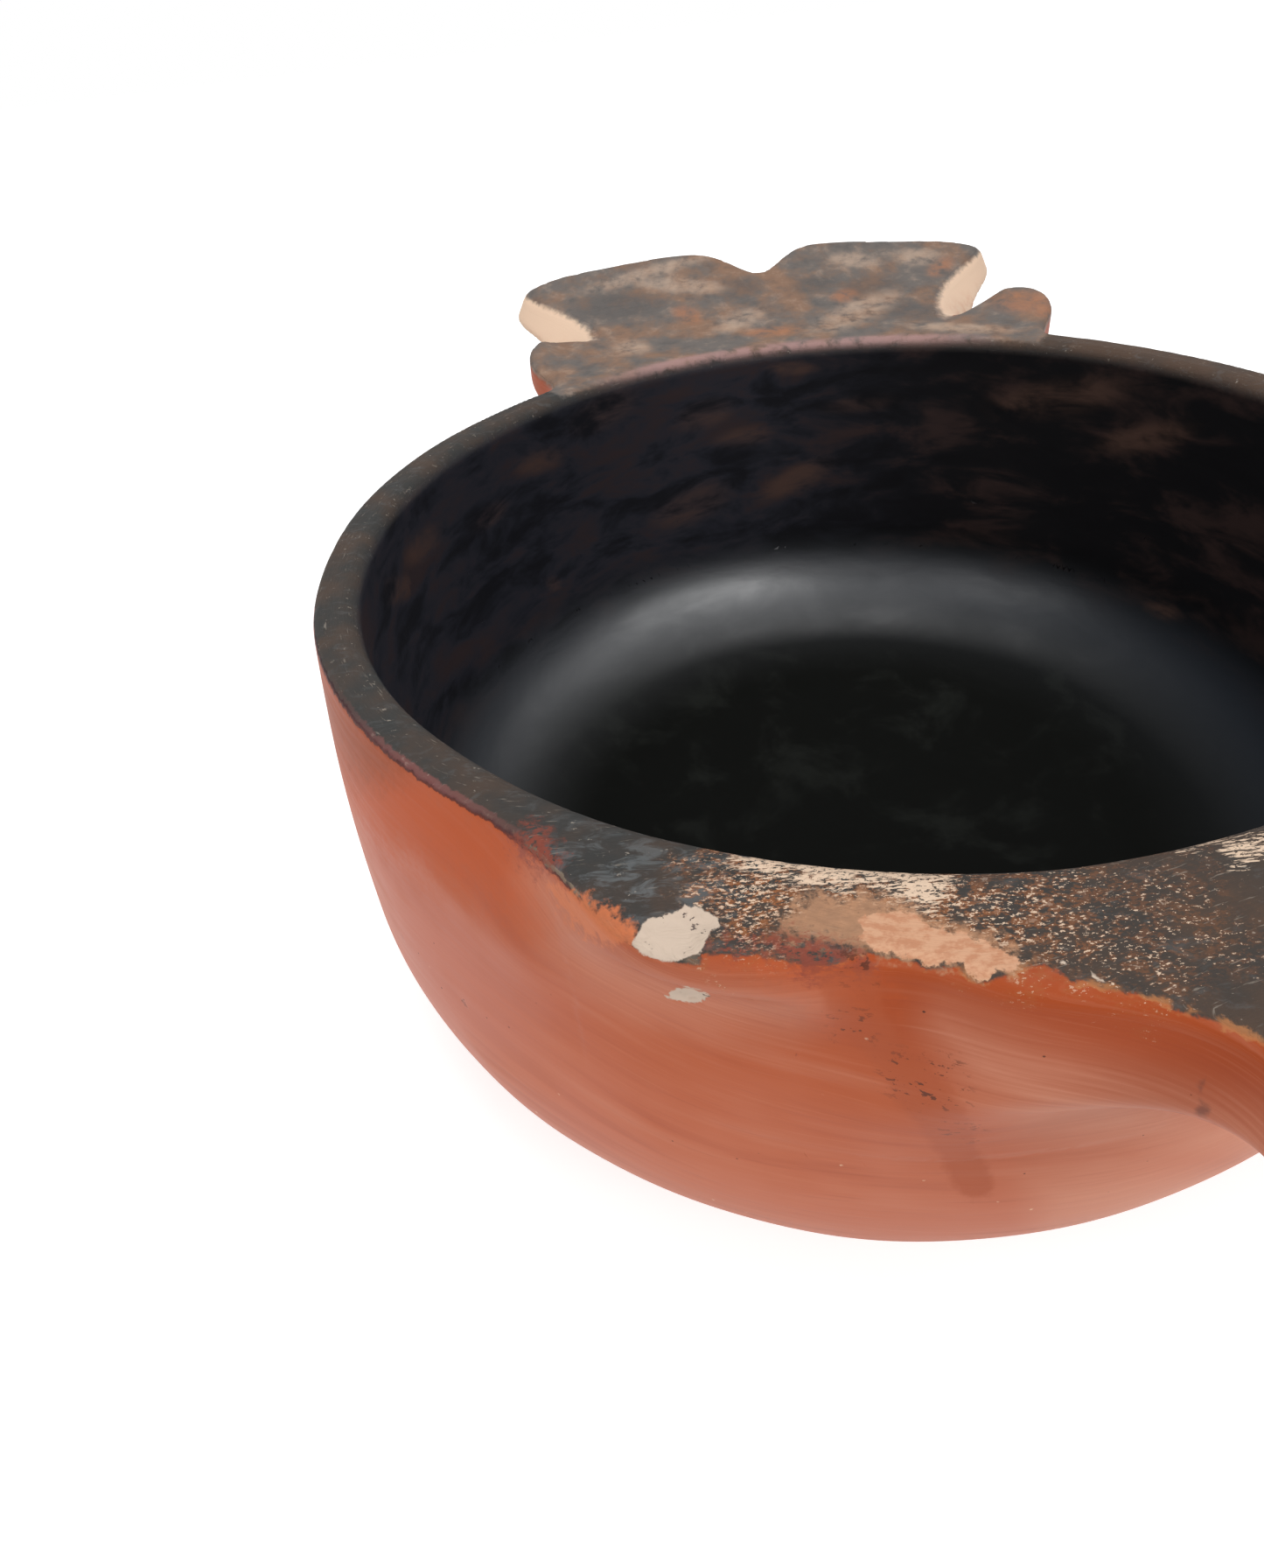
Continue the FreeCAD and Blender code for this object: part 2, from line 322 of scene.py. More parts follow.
def circle_through(p, q, r):
    """Centre and radius of the circle through three points."""
    ax, ay, bx, by, cx, cy = *p, *q, *r
    d = 2 * (ax * (by - cy) + bx * (cy - ay) + cx * (ay - by))
    a2, b2, c2 = ax * ax + ay * ay, bx * bx + by * by, cx * cx + cy * cy
    x = (a2 * (by - cy) + b2 * (cy - ay) + c2 * (ay - by)) / d
    y = (a2 * (cx - bx) + b2 * (ax - cx) + c2 * (bx - ax)) / d
    return x, y, math.hypot(ax - x, ay - y)


BELLY_Z = HEIGHT - BELLY_DROP
BELLY_INSET = BELLY_RADIUS - RIM_OUTER
BELLY_BOW = (BELLY_DROP ** 2 + BELLY_INSET ** 2) / (2 * BELLY_INSET)
TOE_DEGREES = math.asin((BELLY_Z - TOE_RADIUS) / (HEEL_RADIUS - TOE_RADIUS))
HEEL_X = BELLY_RADIUS - HEEL_RADIUS
TOE_X = HEEL_X + (HEEL_RADIUS - TOE_RADIUS) * math.cos(TOE_DEGREES)
CORNER_X = RIM_INNER - CORNER_RADIUS
CORNER_Z = HEIGHT - CORNER_DROP
WALL_CIRCLE = circle_through((RIM_INNER, HEIGHT - LIP_RADIUS),
                             (INNER_BELLY_RADIUS, HEIGHT - INNER_BELLY_DROP), (RIM_INNER, CORNER_Z))
DISH_DEPTH = CORNER_Z - FLOOR_THICKNESS
DISH_RADIUS = (DISH_DEPTH ** 2 + CORNER_X ** 2 - CORNER_RADIUS ** 2) / (2 * (DISH_DEPTH - CORNER_RADIUS))
DISH_Z = FLOOR_THICKNESS + DISH_RADIUS


def outer_side(r, z):
    """Signed distance to the bowl's outside, its wall carried on upwards past the rim."""
    belly = np.hypot(r - (BELLY_RADIUS - BELLY_BOW), z - BELLY_Z) - BELLY_BOW
    heel = np.hypot(r - HEEL_X, z - BELLY_Z) - HEEL_RADIUS
    toe = np.hypot(r - TOE_X, z - TOE_RADIUS) - TOE_RADIUS
    angle = np.arctan2(BELLY_Z - z, r - HEEL_X)
    lower = np.where(angle <= TOE_DEGREES, heel, np.where(r >= TOE_X, toe, -z))
    return np.where(z >= BELLY_Z, belly, lower)


def hollow(r, z):
    """Signed distance to the bowl's hollow, negative inside it."""
    wall = np.hypot(r - WALL_CIRCLE[0], z - WALL_CIRCLE[1]) - WALL_CIRCLE[2]
    corner = np.hypot(r - CORNER_X, np.minimum(z - CORNER_Z, 0)) - CORNER_RADIUS
    upright = corner + (wall - corner) * ease((z - CORNER_Z) / CORNER_EASE / 2 + 0.5)
    dish = np.hypot(r, z - DISH_Z) - DISH_RADIUS
    # Points right of the line from the dish's centre through the corner's centre belong to the corner
    beyond = r * (DISH_Z - CORNER_Z) - CORNER_X * (DISH_Z - z) > 0
    body = np.where(beyond | (z > CORNER_Z), upright, dish)
    lip_x, lip_z = RIM_INNER + LIP_RADIUS, HEIGHT - LIP_RADIUS
    lip = LIP_RADIUS - np.hypot(r - lip_x, z - lip_z)
    rim_top = np.hypot(r - lip_x, z - HEIGHT)
    above = np.where(r > lip_x, rim_top, lip)
    return np.where(z >= lip_z, above, body)


class Wander:
    """Slow, smooth random variation over the surface, about -1 to 1."""

    def __init__(self, seed, wavelength, terms=7):
        random = np.random.default_rng(seed)
        direction = random.normal(size=(terms, 3))
        direction /= np.linalg.norm(direction, axis=1)[:, None]
        self.waves = direction * (2 * math.pi / (wavelength * random.uniform(0.7, 1.6, terms)))[:, None]
        self.phases = random.uniform(0, 2 * math.pi, terms)
        self.scale = 1 / math.sqrt(terms / 2) / 1.6

    def __call__(self, x, y, z):
        total = np.zeros_like(x)
        for (wx, wy, wz), phase in zip(self.waves, self.phases):
            total += np.sin(wx * x + wy * y + wz * z + phase)
        return np.clip(total * self.scale, -1, 1)


wall_wander = Wander(3, 95.0)
wall_ripple = Wander(11, 38.0)
rim_wander = Wander(5, 120.0)
WALL_WANDER = 0.55         # most that the wall stands in from its true curve, each way round the mean
WALL_RIPPLE = 0.16
RIM_WANDER = 0.45
FOOT_FADE = 30.0           # the unevenness fades in over this height above the foot
MIDDLE_FADE = 40.0         # and this far out from the middle
RIM_FADE_START = 60.0
RIM_FADE = 50.0


def make_slabs():
    head = dict(length=60.0, half_width=22.0, rise=-2.0, tip=15.0, root=19.0, root_depth=34.0,
                blend_reach=30.0, edge=4.5, outline=HEAD_SHARES, middle_share=1.0)
    tail = dict(length=60.0, half_width=79.0, rise=14.5, tip=9.0, root=11.0, root_depth=23.0,
                blend_reach=26.0, edge=2.6, outline=TAIL_TOP_SHARES,
                middle_share=TAIL_NOTCH_SHARE, low_outline=TAIL_LOW_SHARES, tilt=0.12, lopsided=0.035)
    front = dict(length=12.0, half_width=34.0, rise=-1.0, tip=7.0, root=10.0, root_depth=24.0,
                 blend_reach=11.0, edge=2.6, outline=FRONT_LIMB_SHARES, middle_share=1.0)
    rear = dict(length=28.0, half_width=11.5, rise=5.0, tip=9.0, root=11.0, root_depth=21.0,
                blend_reach=16.0, edge=2.8, outline=REAR_LIMB_SHARES, middle_share=1.0)
    short = dict(rear, length=SHORT_LIMB_LENGTH)
    front_limb = Slab("front_limb_left", HEAD_ANGLE + FRONT_LIMB_SPREAD, **front)
    rear_limb = Slab("rear_limb_left", TAIL_ANGLE - REAR_LIMB_SPREAD, **rear)
    return [Slab("head", HEAD_ANGLE, **head), front_limb,
            front_limb.turned("front_limb_right", HEAD_ANGLE - FRONT_LIMB_SPREAD),
            Slab("tail", TAIL_ANGLE, **tail), rear_limb,
            Slab("rear_limb_right", TAIL_ANGLE + REAR_LIMB_SPREAD - SHORT_LIMB_TURN, **short)]


slabs = make_slabs()
chips = []                 # places where the surface has flaked off, filled in further down
NAMES = RING_NAMES + [slab.name for slab in slabs]
FRONT_GROUP = range(0, 3)
REAR_GROUP = range(3, 6)


def warped(x, y, z):
    """Where a point of the uneven hand-built bowl lies on the true form: always a little further out."""
    r = np.hypot(x, y)
    push = WALL_WANDER * (1 + wall_wander(x, y, z)) + WALL_RIPPLE * (1 + wall_ripple(x, y, z))
    push = push * ease(z / FOOT_FADE) * ease(r / MIDDLE_FADE)
    lift = RIM_WANDER * (1 + rim_wander(x, y, z * 0)) * ease((z - RIM_FADE_START) / RIM_FADE)
    scale = 1 + push / np.maximum(r, 1.0)
    return x * scale, y * scale, z + lift


def slab_field(slab, x, y, z):
    """Distance to one slab, its lift of the top face and that lift's weight."""
    cosine, sine = math.cos(slab.angle), math.sin(slab.angle)
    along = x * cosine + y * sine
    across = y * cosine - x * sine
    across = across / (1 + slab.lopsided * np.tanh(across / slab.half_width))
    near = (along > RIM_OUTER - NEAR_ROOT) & (np.abs(across) < slab.widest + NEAR_MARGIN)
    near &= z > HEIGHT - slab.root_depth - NEAR_MARGIN
    distance, rise, weight = np.full_like(x, FAR), np.zeros_like(x), np.zeros_like(x)
    along, across, z = along[near], across[near], z[near]
    out = (along - RIM_OUTER) / slab.length
    top_line = look_up(slab.table_top, along, across)
    low_line = top_line if slab.table_low is slab.table_top else look_up(slab.table_low, along, across)
    swept = slab.rise * np.maximum(out, 0) ** 2 * (1 - slab.tilt * (1 - across / slab.half_width))
    extra = np.interp(along, slab.under_along, slab.under_extra)
    thickness = slab.root + (slab.tip - slab.root) * np.clip(out, 0, 1.2) + extra
    share = np.clip((HEIGHT + swept + LEAN_START - z) / LEAN_DEPTH, 0, 1)
    side = top_line + (low_line - top_line) * share
    under = HEIGHT + swept - thickness - z
    distance[near] = round_max(side, under * UNDER_SLOPE, slab.edge)
    rise[near] = swept
    weight[near] = 1 - ease(np.minimum(top_line, low_line) / TOP_FADE)
    return distance, rise, weight


def chip_depth(x, y, z):
    """How deep the surface is hollowed out at each point, worked out only in front of the chips."""
    depth = np.zeros_like(x)
    if chips:
        near = np.flatnonzero(x > min(chip.middle[0] - chip.radius for chip in chips) - CHIP_EDGE)
        depth[near] = sum(chip.recess(x[near], y[near], z[near]) for chip in chips)
    return depth


def clay(x, y, z, parts=False):
    """Signed distance to the whole bowl's clay, and what it is made up of where asked for."""
    flaked = chip_depth(x, y, z)
    x, y, z = warped(x, y, z)
    r = np.hypot(x, y)
    wall = outer_side(r, z)
    apart, rises, weights = zip(*(slab_field(slab, x, y, z) for slab in slabs))
    lift = sum(a * b for a, b in zip(rises, weights)) / np.maximum(sum(weights), 1)
    top = HEIGHT + lift
    front = soft_min(soft_min(apart[0], apart[1], WEB_REACH), apart[2], WEB_REACH)
    rear = soft_min(soft_min(apart[3], apart[4], TAIL_WEB_REACH), apart[5], TAIL_WEB_REACH)
    crease = CREASE_TOP_REACH + (CREASE_LOW_REACH - CREASE_TOP_REACH) * ease((HEIGHT - z) / CREASE_DROP)
    side = soft_min(soft_min(wall, front, crease), rear, REAR_CREASE_REACH)
    slab_edge = np.where(x < 0, TAIL_TOP_EDGE, SLAB_TOP_EDGE)
    edge = RIM_EDGE + (slab_edge - RIM_EDGE) * ease(wall / SLAB_EDGE_FADE)
    body = round_max(side, z - top, edge)
    body = np.maximum(body, -hollow(r, z))
    body = np.maximum(body, -z)
    body = body + flaked
    if parts:
        return dict(body=body, wall=wall, apart=apart, side=side, drop=top - z, r=r, z=z)
    return body


# Worn, stained and flaked places, and places of painted shade and painted sheen, outlined in the
# photograph's pixels, column and row of one corner after another, and carried onto the clay there
PATCHES = {
    "chip": [
        [722, 1079, 726, 1072, 732, 1060, 735, 1052, 745, 1049, 757, 1047, 770, 1044, 780, 1036, 790, 1033,
         800, 1039, 810, 1044, 820, 1047, 824, 1053, 821, 1060, 812, 1066, 806, 1075, 802, 1085, 803, 1091,
         792, 1094, 780, 1096, 765, 1100, 750, 1097, 735, 1091, 725, 1084],
        [760, 1137, 770, 1131, 785, 1129, 800, 1132, 812, 1138, 807, 1145, 790, 1147, 772, 1144],
        [1209, 1100, 1218, 1099, 1221, 1107, 1213, 1112, 1207, 1108],
        [1246, 1106, 1255, 1105, 1257, 1113, 1249, 1119, 1243, 1113],
        [1259, 1120, 1266, 1122, 1267, 1132, 1260, 1131]],
    "buff": [
        [982, 1050, 990, 1044, 1015, 1041, 1037, 1041, 1062, 1058, 1092, 1064, 1130, 1079, 1167, 1094,
         1165, 1106, 1142, 1107, 1135, 1110, 1140, 1117, 1122, 1118, 1104, 1111, 1095, 1101, 1072, 1103,
         1055, 1106, 1047, 1095, 1012, 1089, 997, 1087, 987, 1075, 982, 1062]],
    "film": [
        [895, 1062, 905, 1035, 922, 1022, 960, 1024, 1000, 1024, 1040, 1034, 1066, 1050, 1110, 1062,
         1150, 1080, 1172, 1096, 1168, 1108, 1120, 1110, 1050, 1100, 985, 1088, 960, 1081, 935, 1076,
         897, 1071]],
    "scuff": [
        [833, 976, 845, 970, 872, 968, 910, 972, 960, 976, 1012, 984, 1050, 987, 1082, 994, 1084, 1022,
         1074, 1044, 1050, 1040, 1030, 1026, 1005, 1014, 985, 1012, 970, 1015, 960, 1020, 935, 1012,
         897, 1004, 860, 998, 840, 992],
        [1340, 962, 1367, 955, 1392, 951, 1395, 957, 1405, 960, 1430, 957, 1452, 960, 1452, 980, 1430, 983,
         1422, 989, 1410, 984, 1395, 975, 1395, 967, 1375, 967, 1355, 965]],
    "speckle": [
        [800, 1000, 820, 985, 847, 982, 897, 990, 960, 1008, 1010, 1003, 1040, 1012, 1020, 1024, 925, 1022,
         905, 1035, 895, 1064, 860, 1080, 825, 1080, 812, 1070, 822, 1055, 797, 1035],
        [1025, 1010, 1080, 1003, 1155, 992, 1255, 978, 1330, 978, 1380, 985, 1400, 1017, 1430, 1080,
         1370, 1130, 1305, 1138, 1267, 1132, 1205, 1118, 1167, 1110, 1135, 1090, 1062, 1055, 1030, 1030]],
    "rust": [
        [805, 1085, 812, 1077, 860, 1079, 895, 1070, 910, 1068, 935, 1073, 970, 1083, 994, 1084, 996, 1106,
         985, 1118, 972, 1100, 955, 1112, 935, 1125, 910, 1108, 885, 1093, 860, 1089, 822, 1089],
        [590, 953, 608, 940, 628, 955, 640, 975, 634, 992, 620, 1000, 602, 990, 592, 975]],
    "drip": [
        [932, 1105, 945, 1155, 975, 1190, 1008, 1225, 1025, 1260, 1050, 1287, 1075, 1322, 1088, 1350,
         1098, 1364, 1112, 1370, 1128, 1368, 1137, 1358, 1133, 1342, 1116, 1310, 1108, 1280, 1090, 1250,
         1062, 1218, 1038, 1198, 1012, 1160, 1000, 1110]],
    "specks": [
        [1010, 1208, 1095, 1215, 1104, 1265, 1060, 1268, 1015, 1240],
        [952, 1160, 990, 1162, 992, 1185, 962, 1187],
        [1080, 1287, 1122, 1289, 1120, 1297, 1082, 1295],
        [960, 1090, 996, 1088, 998, 1120, 964, 1118]],
    "bare": [
        [628, 1008, 660, 1022, 700, 1040, 730, 1058, 724, 1080, 700, 1080, 667, 1066, 644, 1040]],
    "orange": [
        [868, 1085, 930, 1095, 985, 1120, 990, 1150, 950, 1150, 900, 1120, 870, 1100],
        [352, 740, 385, 806, 429, 842, 481, 877, 542, 908, 595, 947, 621, 997, 621, 1060, 551, 1020,
         490, 990, 437, 962, 398, 918, 366, 840]],
    # Painted shade: the left wall darkened just under the rim
    "shade": [
        [340, 720, 365, 765, 395, 805, 430, 840, 455, 862, 462, 880, 440, 895, 415, 895, 395, 880, 375, 850,
         350, 800]],
    # Painted sheen: paler sweeps along the crease under the head, low on the right and along the crease by
    # the chip
    "painted_sheen": [
        [1080, 1172, 1180, 1212, 1320, 1256, 1445, 1288, 1500, 1300, 1500, 1335, 1445, 1328, 1300, 1314,
         1180, 1288, 1110, 1240],
        [1180, 1350, 1260, 1325, 1445, 1335, 1445, 1420, 1300, 1410, 1200, 1400],
        [612, 1006, 639, 1076, 682, 1120, 726, 1146, 814, 1163, 901, 1163, 936, 1146, 857, 1139, 779, 1128,
         726, 1111, 682, 1085, 647, 1050, 625, 1010]],
    "worn_edge": [
        [803, 1092, 866, 1092, 901, 1101, 945, 1105, 985, 1090, 1012, 1094, 1047, 1100, 1055, 1109,
         1072, 1107, 1095, 1106, 1104, 1115, 1122, 1122, 1140, 1120, 1165, 1109, 1190, 1100, 1225, 1120,
         1270, 1131, 1312, 1140, 1400, 1172, 1470, 1200, 1470, 1240, 1400, 1215, 1312, 1190, 1225, 1175,
         1163, 1165, 1041, 1140, 988, 1135, 901, 1140, 803, 1135]],
    "ash": [
        [630, 985, 680, 965, 740, 965, 810, 990, 812, 1020, 775, 1040, 735, 1045, 690, 1025, 655, 1008]],
    "mark": [
        [1367, 1250, 1366, 1243, 1375, 1228, 1378, 1230, 1371, 1250],
        [1366, 1268, 1372, 1262, 1383, 1263, 1385, 1270, 1378, 1276, 1368, 1274]],
}
# Soft blotches: column, row, half length, half height and slant in degrees
BLOTCHES = {
    "light": [
        (740, 312, 72, 7, -16), (775, 326, 50, 8, 4), (975, 297, 28, 8, 5), (1048, 294, 26, 9, 0),
        (980, 356, 50, 13, -22), (845, 366, 30, 9, -20), (640, 372, 26, 14, 40), (722, 397, 20, 8, 0),
        (1100, 375, 60, 5, 3), (385, 672, 12, 16, 80), (1352, 402, 22, 4, 12)],
    "dark": [
        (706, 350, 48, 15, -5), (994, 328, 34, 12, -5), (845, 330, 24, 12, -10), (930, 325, 26, 9, -10),
        (1040, 355, 40, 10, 5)],
    "amber": [
        (785, 360, 16, 9, 20), (882, 379, 30, 5, -4), (1075, 305, 15, 9, -30), (965, 338, 14, 7, -10),
        (1170, 345, 34, 12, 0), (1195, 352, 10, 14, 60), (655, 385, 14, 6, 40), (605, 425, 8, 14, 0)],
    "smear": [
        (690, 470, 38, 16, -30), (617, 528, 26, 12, -20), (790, 577, 42, 18, -24), (910, 548, 42, 13, -25),
        (805, 474, 30, 14, -20), (985, 462, 40, 8, -6), (1210, 455, 70, 20, -8), (483, 623, 26, 12, -50),
        (453, 674, 20, 14, -30), (633, 667, 8, 7, 0), (905, 421, 26, 7, 0), (850, 500, 30, 10, -10),
        (1310, 500, 50, 14, -10), (1330, 700, 20, 8, 20), (560, 590, 22, 9, -40), (470, 560, 14, 9, -50)],
}
PATCH_REACH = 1.2          # how far round a patch its distances are worked out, as a share of its radius
PATCH_MARGIN = 10.0
OUTSIDE_PATCH = -40.0
CHIP_DEPTH = 0.9
CHIP_EDGE = 1.5
CHIP_WINDOW = 11.0         # depth either side of a chip's middle within which it's hollowed out
SMALL_CHIP = 8.0           # chips of a smaller radius than this are shallower
BLOTCH_SOFTNESS = 1.5
BLOTCH_REACH = 2.2
RAY_START = 60.0           # a camera ray starts this far out and takes this share of the distance each round
RAY_STEP = 0.8
RAY_ROUNDS = 90
RAY_BACK = 5.0
RAY_AHEAD = 30.0


def surface_points(pixels):
    """Where the camera's rays through photograph pixels first meet the clay."""
    column, row = np.array(pixels, float).T
    rays = np.stack([(column - PHOTO_SIZE[0] / 2) / FOCAL_PIXELS, (PHOTO_SIZE[1] / 2 - row) / FOCAL_PIXELS,
                     -np.ones_like(row)])
    rays = (CAMERA_AXES @ rays).T
    rays /= np.linalg.norm(rays, axis=1)[:, None]
    reach = np.full(len(rays), RAY_START)
    for _ in range(RAY_ROUNDS):
        reach += RAY_STEP * np.clip(clay(*(CAMERA_MM + rays * reach[:, None]).T), -RAY_BACK, RAY_AHEAD)
    return CAMERA_MM + rays * reach[:, None]


class Patch:
    """An outlined place on the surface, with signed distances that are positive inside."""

    def __init__(self, corners):
        self.corners = np.reshape(corners, (-1, 2)).astype(float)
        places = surface_points(self.corners)
        self.middle = places.mean(0)
        self.radius = np.linalg.norm(places - self.middle, axis=1).max()
        self.depth = photo_place(self.middle[None])[1][0]

    def distances(self, points):
        """Distance in from the outline, and which points are close enough to have one."""
        out = np.full(len(points), OUTSIDE_PATCH)
        close = np.linalg.norm(points - self.middle, axis=1) < self.radius * PATCH_REACH + PATCH_MARGIN
        pixels, depth = photo_place(points[close])
        ring = np.vstack([self.corners, self.corners[:1]])
        gap = polyline_distance(pixels, ring) * depth / FOCAL_PIXELS
        out[close] = np.where(polygon_inside(pixels, self.corners), gap, -gap)
        return out

    def recess(self, x, y, z):
        """How deep the surface is hollowed out at a point."""
        points = np.stack([x, y, z], 1)
        out = np.zeros(len(points))
        close = np.linalg.norm(points - self.middle, axis=1) < self.radius + CHIP_EDGE
        if close.any():
            share = ease(self.distances(points[close]) / CHIP_EDGE)
            window = np.abs(photo_place(points[close])[1] - self.depth) < CHIP_WINDOW
            out[close] = CHIP_DEPTH * share * window * min(1.0, self.radius / SMALL_CHIP)
        return out


def blotch_weight(points, facing, blotches):
    """Soft weight from 0 to 1 of blotches seen in the photograph."""
    pixels, depth = photo_place(points)
    total = np.zeros(len(points))
    places = surface_points([(column, row) for column, row, *rest in blotches])
    for (column, row, length, height, slant), place in zip(blotches, places):
        angle = math.radians(slant)
        u = (pixels[:, 0] - column) * math.cos(angle) + (pixels[:, 1] - row) * math.sin(angle)
        v = (pixels[:, 1] - row) * math.cos(angle) - (pixels[:, 0] - column) * math.sin(angle)
        away = np.hypot(u / length, v / height)
        close = np.linalg.norm(points - place, axis=1) < BLOTCH_REACH * length * depth / FOCAL_PIXELS
        total = np.maximum(total, ease(BLOTCH_SOFTNESS - away) * close * facing)
    return total


def partition(x, y, z):
    """Fields whose zeros are the hidden seams: ring height, front and rear seats, slab distances."""
    at = clay(x, y, z, parts=True)
    ring_height = at["z"] + SEAM_LAP * (at["r"] - BELLY_RADIUS) / (BELLY_RADIUS - INNER_BELLY_RADIUS)
    azimuth = np.arctan2(y, x)
    seats = []
    for middle, half in ((HEAD_ANGLE, FRONT_SEAT_HALF), (TAIL_ANGLE, REAR_SEAT_HALF)):
        sideways = np.radians(turn_from(azimuth, middle) - half) * RIM_OUTER
        seats.append(np.maximum(np.maximum(sideways, SEAT_BOTTOM - at["z"]), -SEAT_DEPTH - at["wall"]))
    return at["body"], ring_height, seats, at["apart"]


def labels_of(ring_height, seats, apart):
    label = np.digitize(ring_height, SEAMS)
    rings = len(RING_NAMES)
    for seat, group in zip(seats, (FRONT_GROUP, REAR_GROUP)):
        nearest = np.argmin(np.stack([apart[i] for i in group]), axis=0) + group[0] + rings
        label = np.where(seat < 0, nearest, label)
    return label


CORNERS = [(i, j, k) for i in (0, 1) for j in (0, 1) for k in (0, 1)]
SEAM_SLACK = 0.6           # most grid steps that a point is moved sideways to lie on a seam
BLOCK = 4                  # grid steps in one block of the first, coarse look
BLOCK_REACH = 1.5
GRID_SHIFT = 0.37          # keeps grid points off the true form's flat faces
CHUNK = 200000
LEAST_SLOPE = 0.2
SEAM_DAMPING = 0.02
FOOT_SNAP = 0.05           # points this near the ground lie on it


def sample_grid():
    """Field and piece labels on a regular grid, worked out only in the blocks near the clay."""
    low, high = cad_box
    spans = [int((high[i] - low[i]) / MM / VOXEL / BLOCK) + 3 for i in range(3)]
    axes = [low[i] / MM + VOXEL * (np.arange(spans[i] * BLOCK + 1) - BLOCK + GRID_SHIFT) for i in range(3)]
    coarse = np.stack(np.meshgrid(*[axis[::BLOCK] for axis in axes], indexing="ij"), -1)
    close = clay(*coarse.reshape(-1, 3).T).reshape(coarse.shape[:3]) < BLOCK * VOXEL * BLOCK_REACH
    shape = [n * BLOCK + 1 for n in spans]
    near = np.zeros(shape, bool)
    blocks = np.zeros(spans, bool)
    for corner in CORNERS:
        blocks |= close[tuple(slice(o, o + n) for o, n in zip(corner, spans))]
    cells = blocks.repeat(BLOCK, 0).repeat(BLOCK, 1).repeat(BLOCK, 2)
    for corner in CORNERS:
        near[tuple(slice(o, o + n) for o, n in zip(corner, cells.shape))] |= cells
    nodes = np.argwhere(near)
    field = np.full(shape, FAR, np.float32)
    label = np.zeros(shape, np.int8)
    for part in np.array_split(nodes, len(nodes) // CHUNK + 1):
        x, y, z = (axis[part[:, i]] for i, axis in enumerate(axes))
        body, ring_height, seats, apart = partition(x, y, z)
        field[tuple(part.T)] = body
        label[tuple(part.T)] = labels_of(ring_height, seats, apart)
    return np.array([axis[0] for axis in axes]), field, label


EDGES = [(a, b) for a in range(8) for b in range(a + 1, 8)
         if sum(abs(p - q) for p, q in zip(CORNERS[a], CORNERS[b])) == 1]


def gradient(function, points, step=0.35):
    """Central differences of a field at points."""
    out = np.empty_like(points)
    for axis in range(3):
        ahead, behind = points.copy(), points.copy()
        ahead[:, axis] += step
        behind[:, axis] -= step
        out[:, axis] = (function(*ahead.T) - function(*behind.T)) / (2 * step)
    return out


def limited(move, most):
    """Moves no longer than a given length."""
    length = np.linalg.norm(move, axis=1)
    return move * np.minimum(1, most / np.maximum(length, 1e-9))[:, None]


def settle(points, function, rounds=3):
    """Move points onto a field's zero, along its slope at the start."""
    slope = gradient(function, points)
    slope /= np.maximum((slope * slope).sum(1), LEAST_SLOPE)[:, None]
    for _ in range(rounds):
        points = points + limited(-slope * function(*points.T)[:, None], VOXEL)
    return points


def unless_far(moved, points):
    """The moved points, but those that went too far for the grid stay where they were."""
    near = np.linalg.norm(moved - points, axis=1) < SEAM_SLACK * VOXEL
    return np.where(near[:, None], moved, points)


def seam_field(first, second):
    """The field whose zero is the seam between two pieces."""
    rings = len(RING_NAMES)

    def field(x, y, z):
        body, ring_height, seats, apart = partition(x, y, z)
        if second < rings:
            return ring_height - SEAMS[second - 1]
        if first < rings:
            return seats[0] if second - rings in FRONT_GROUP else seats[1]
        return apart[first - rings] - apart[second - rings]
    return field


def settle_on_seam(points, first, second, rounds=5):
    """Move surface points onto the line where a seam meets the surface, unless that is too far."""
    seam = seam_field(first, second)
    moved = points.copy()
    for _ in range(rounds):
        values = np.stack([clay(*moved.T), seam(*moved.T)], 1)
        slopes = np.stack([gradient(clay, moved), gradient(seam, moved)], 1)
        square = slopes @ slopes.transpose(0, 2, 1) + np.eye(2) * SEAM_DAMPING
        move = -(slopes.transpose(0, 2, 1) @ np.linalg.solve(square, values[:, :, None]))[:, :, 0]
        moved = moved + limited(move, VOXEL)
    return unless_far(moved, points)


def settle_inside_seam(points, first, second):
    """Smooth a hidden seam's own points in the same way."""
    return unless_far(settle(points, seam_field(first, second), 2), points)


def crossed_cells(field, label):
    """Grid cells that the surface or a hidden seam passes through, and the shape of the cells' grid."""
    shape = np.array(field.shape) - 1
    windows = [tuple(slice(o, o + n) for o, n in zip(corner, shape)) for corner in CORNERS]
    inside = field < 0
    crossed, mixed, any_inside = (np.zeros(shape, bool) for _ in range(3))
    for window in windows:
        crossed |= inside[window] != inside[windows[0]]
        mixed |= label[window] != label[windows[0]]
        any_inside |= inside[window]
    return np.argwhere(crossed | (mixed & any_inside)), shape


def cell_middles(values, names):
    """Where in each cell the surface, or else a hidden seam, passes, and which cells have surface."""
    offsets = np.array(CORNERS, float)
    total, hidden_total = np.zeros((2, len(values), 3))
    count, hidden_count = np.zeros((2, len(values), 1))
    for a, b in EDGES:
        cuts = ((values[:, a] < 0) != (values[:, b] < 0))[:, None]
        share = values[:, a, None] / np.where(cuts, (values[:, a] - values[:, b])[:, None], 1)
        total += np.where(cuts, offsets[a] + (offsets[b] - offsets[a]) * share, 0)
        count += cuts
        seam = ((names[:, a] != names[:, b]) & (values[:, a] < 0) & (values[:, b] < 0))[:, None]
        hidden_total += np.where(seam, (offsets[a] + offsets[b]) / 2, 0)
        hidden_count += seam
    local = np.where(count > 0, total / np.maximum(count, 1), hidden_total / np.maximum(hidden_count, 1))
    return local, count[:, 0] > 0


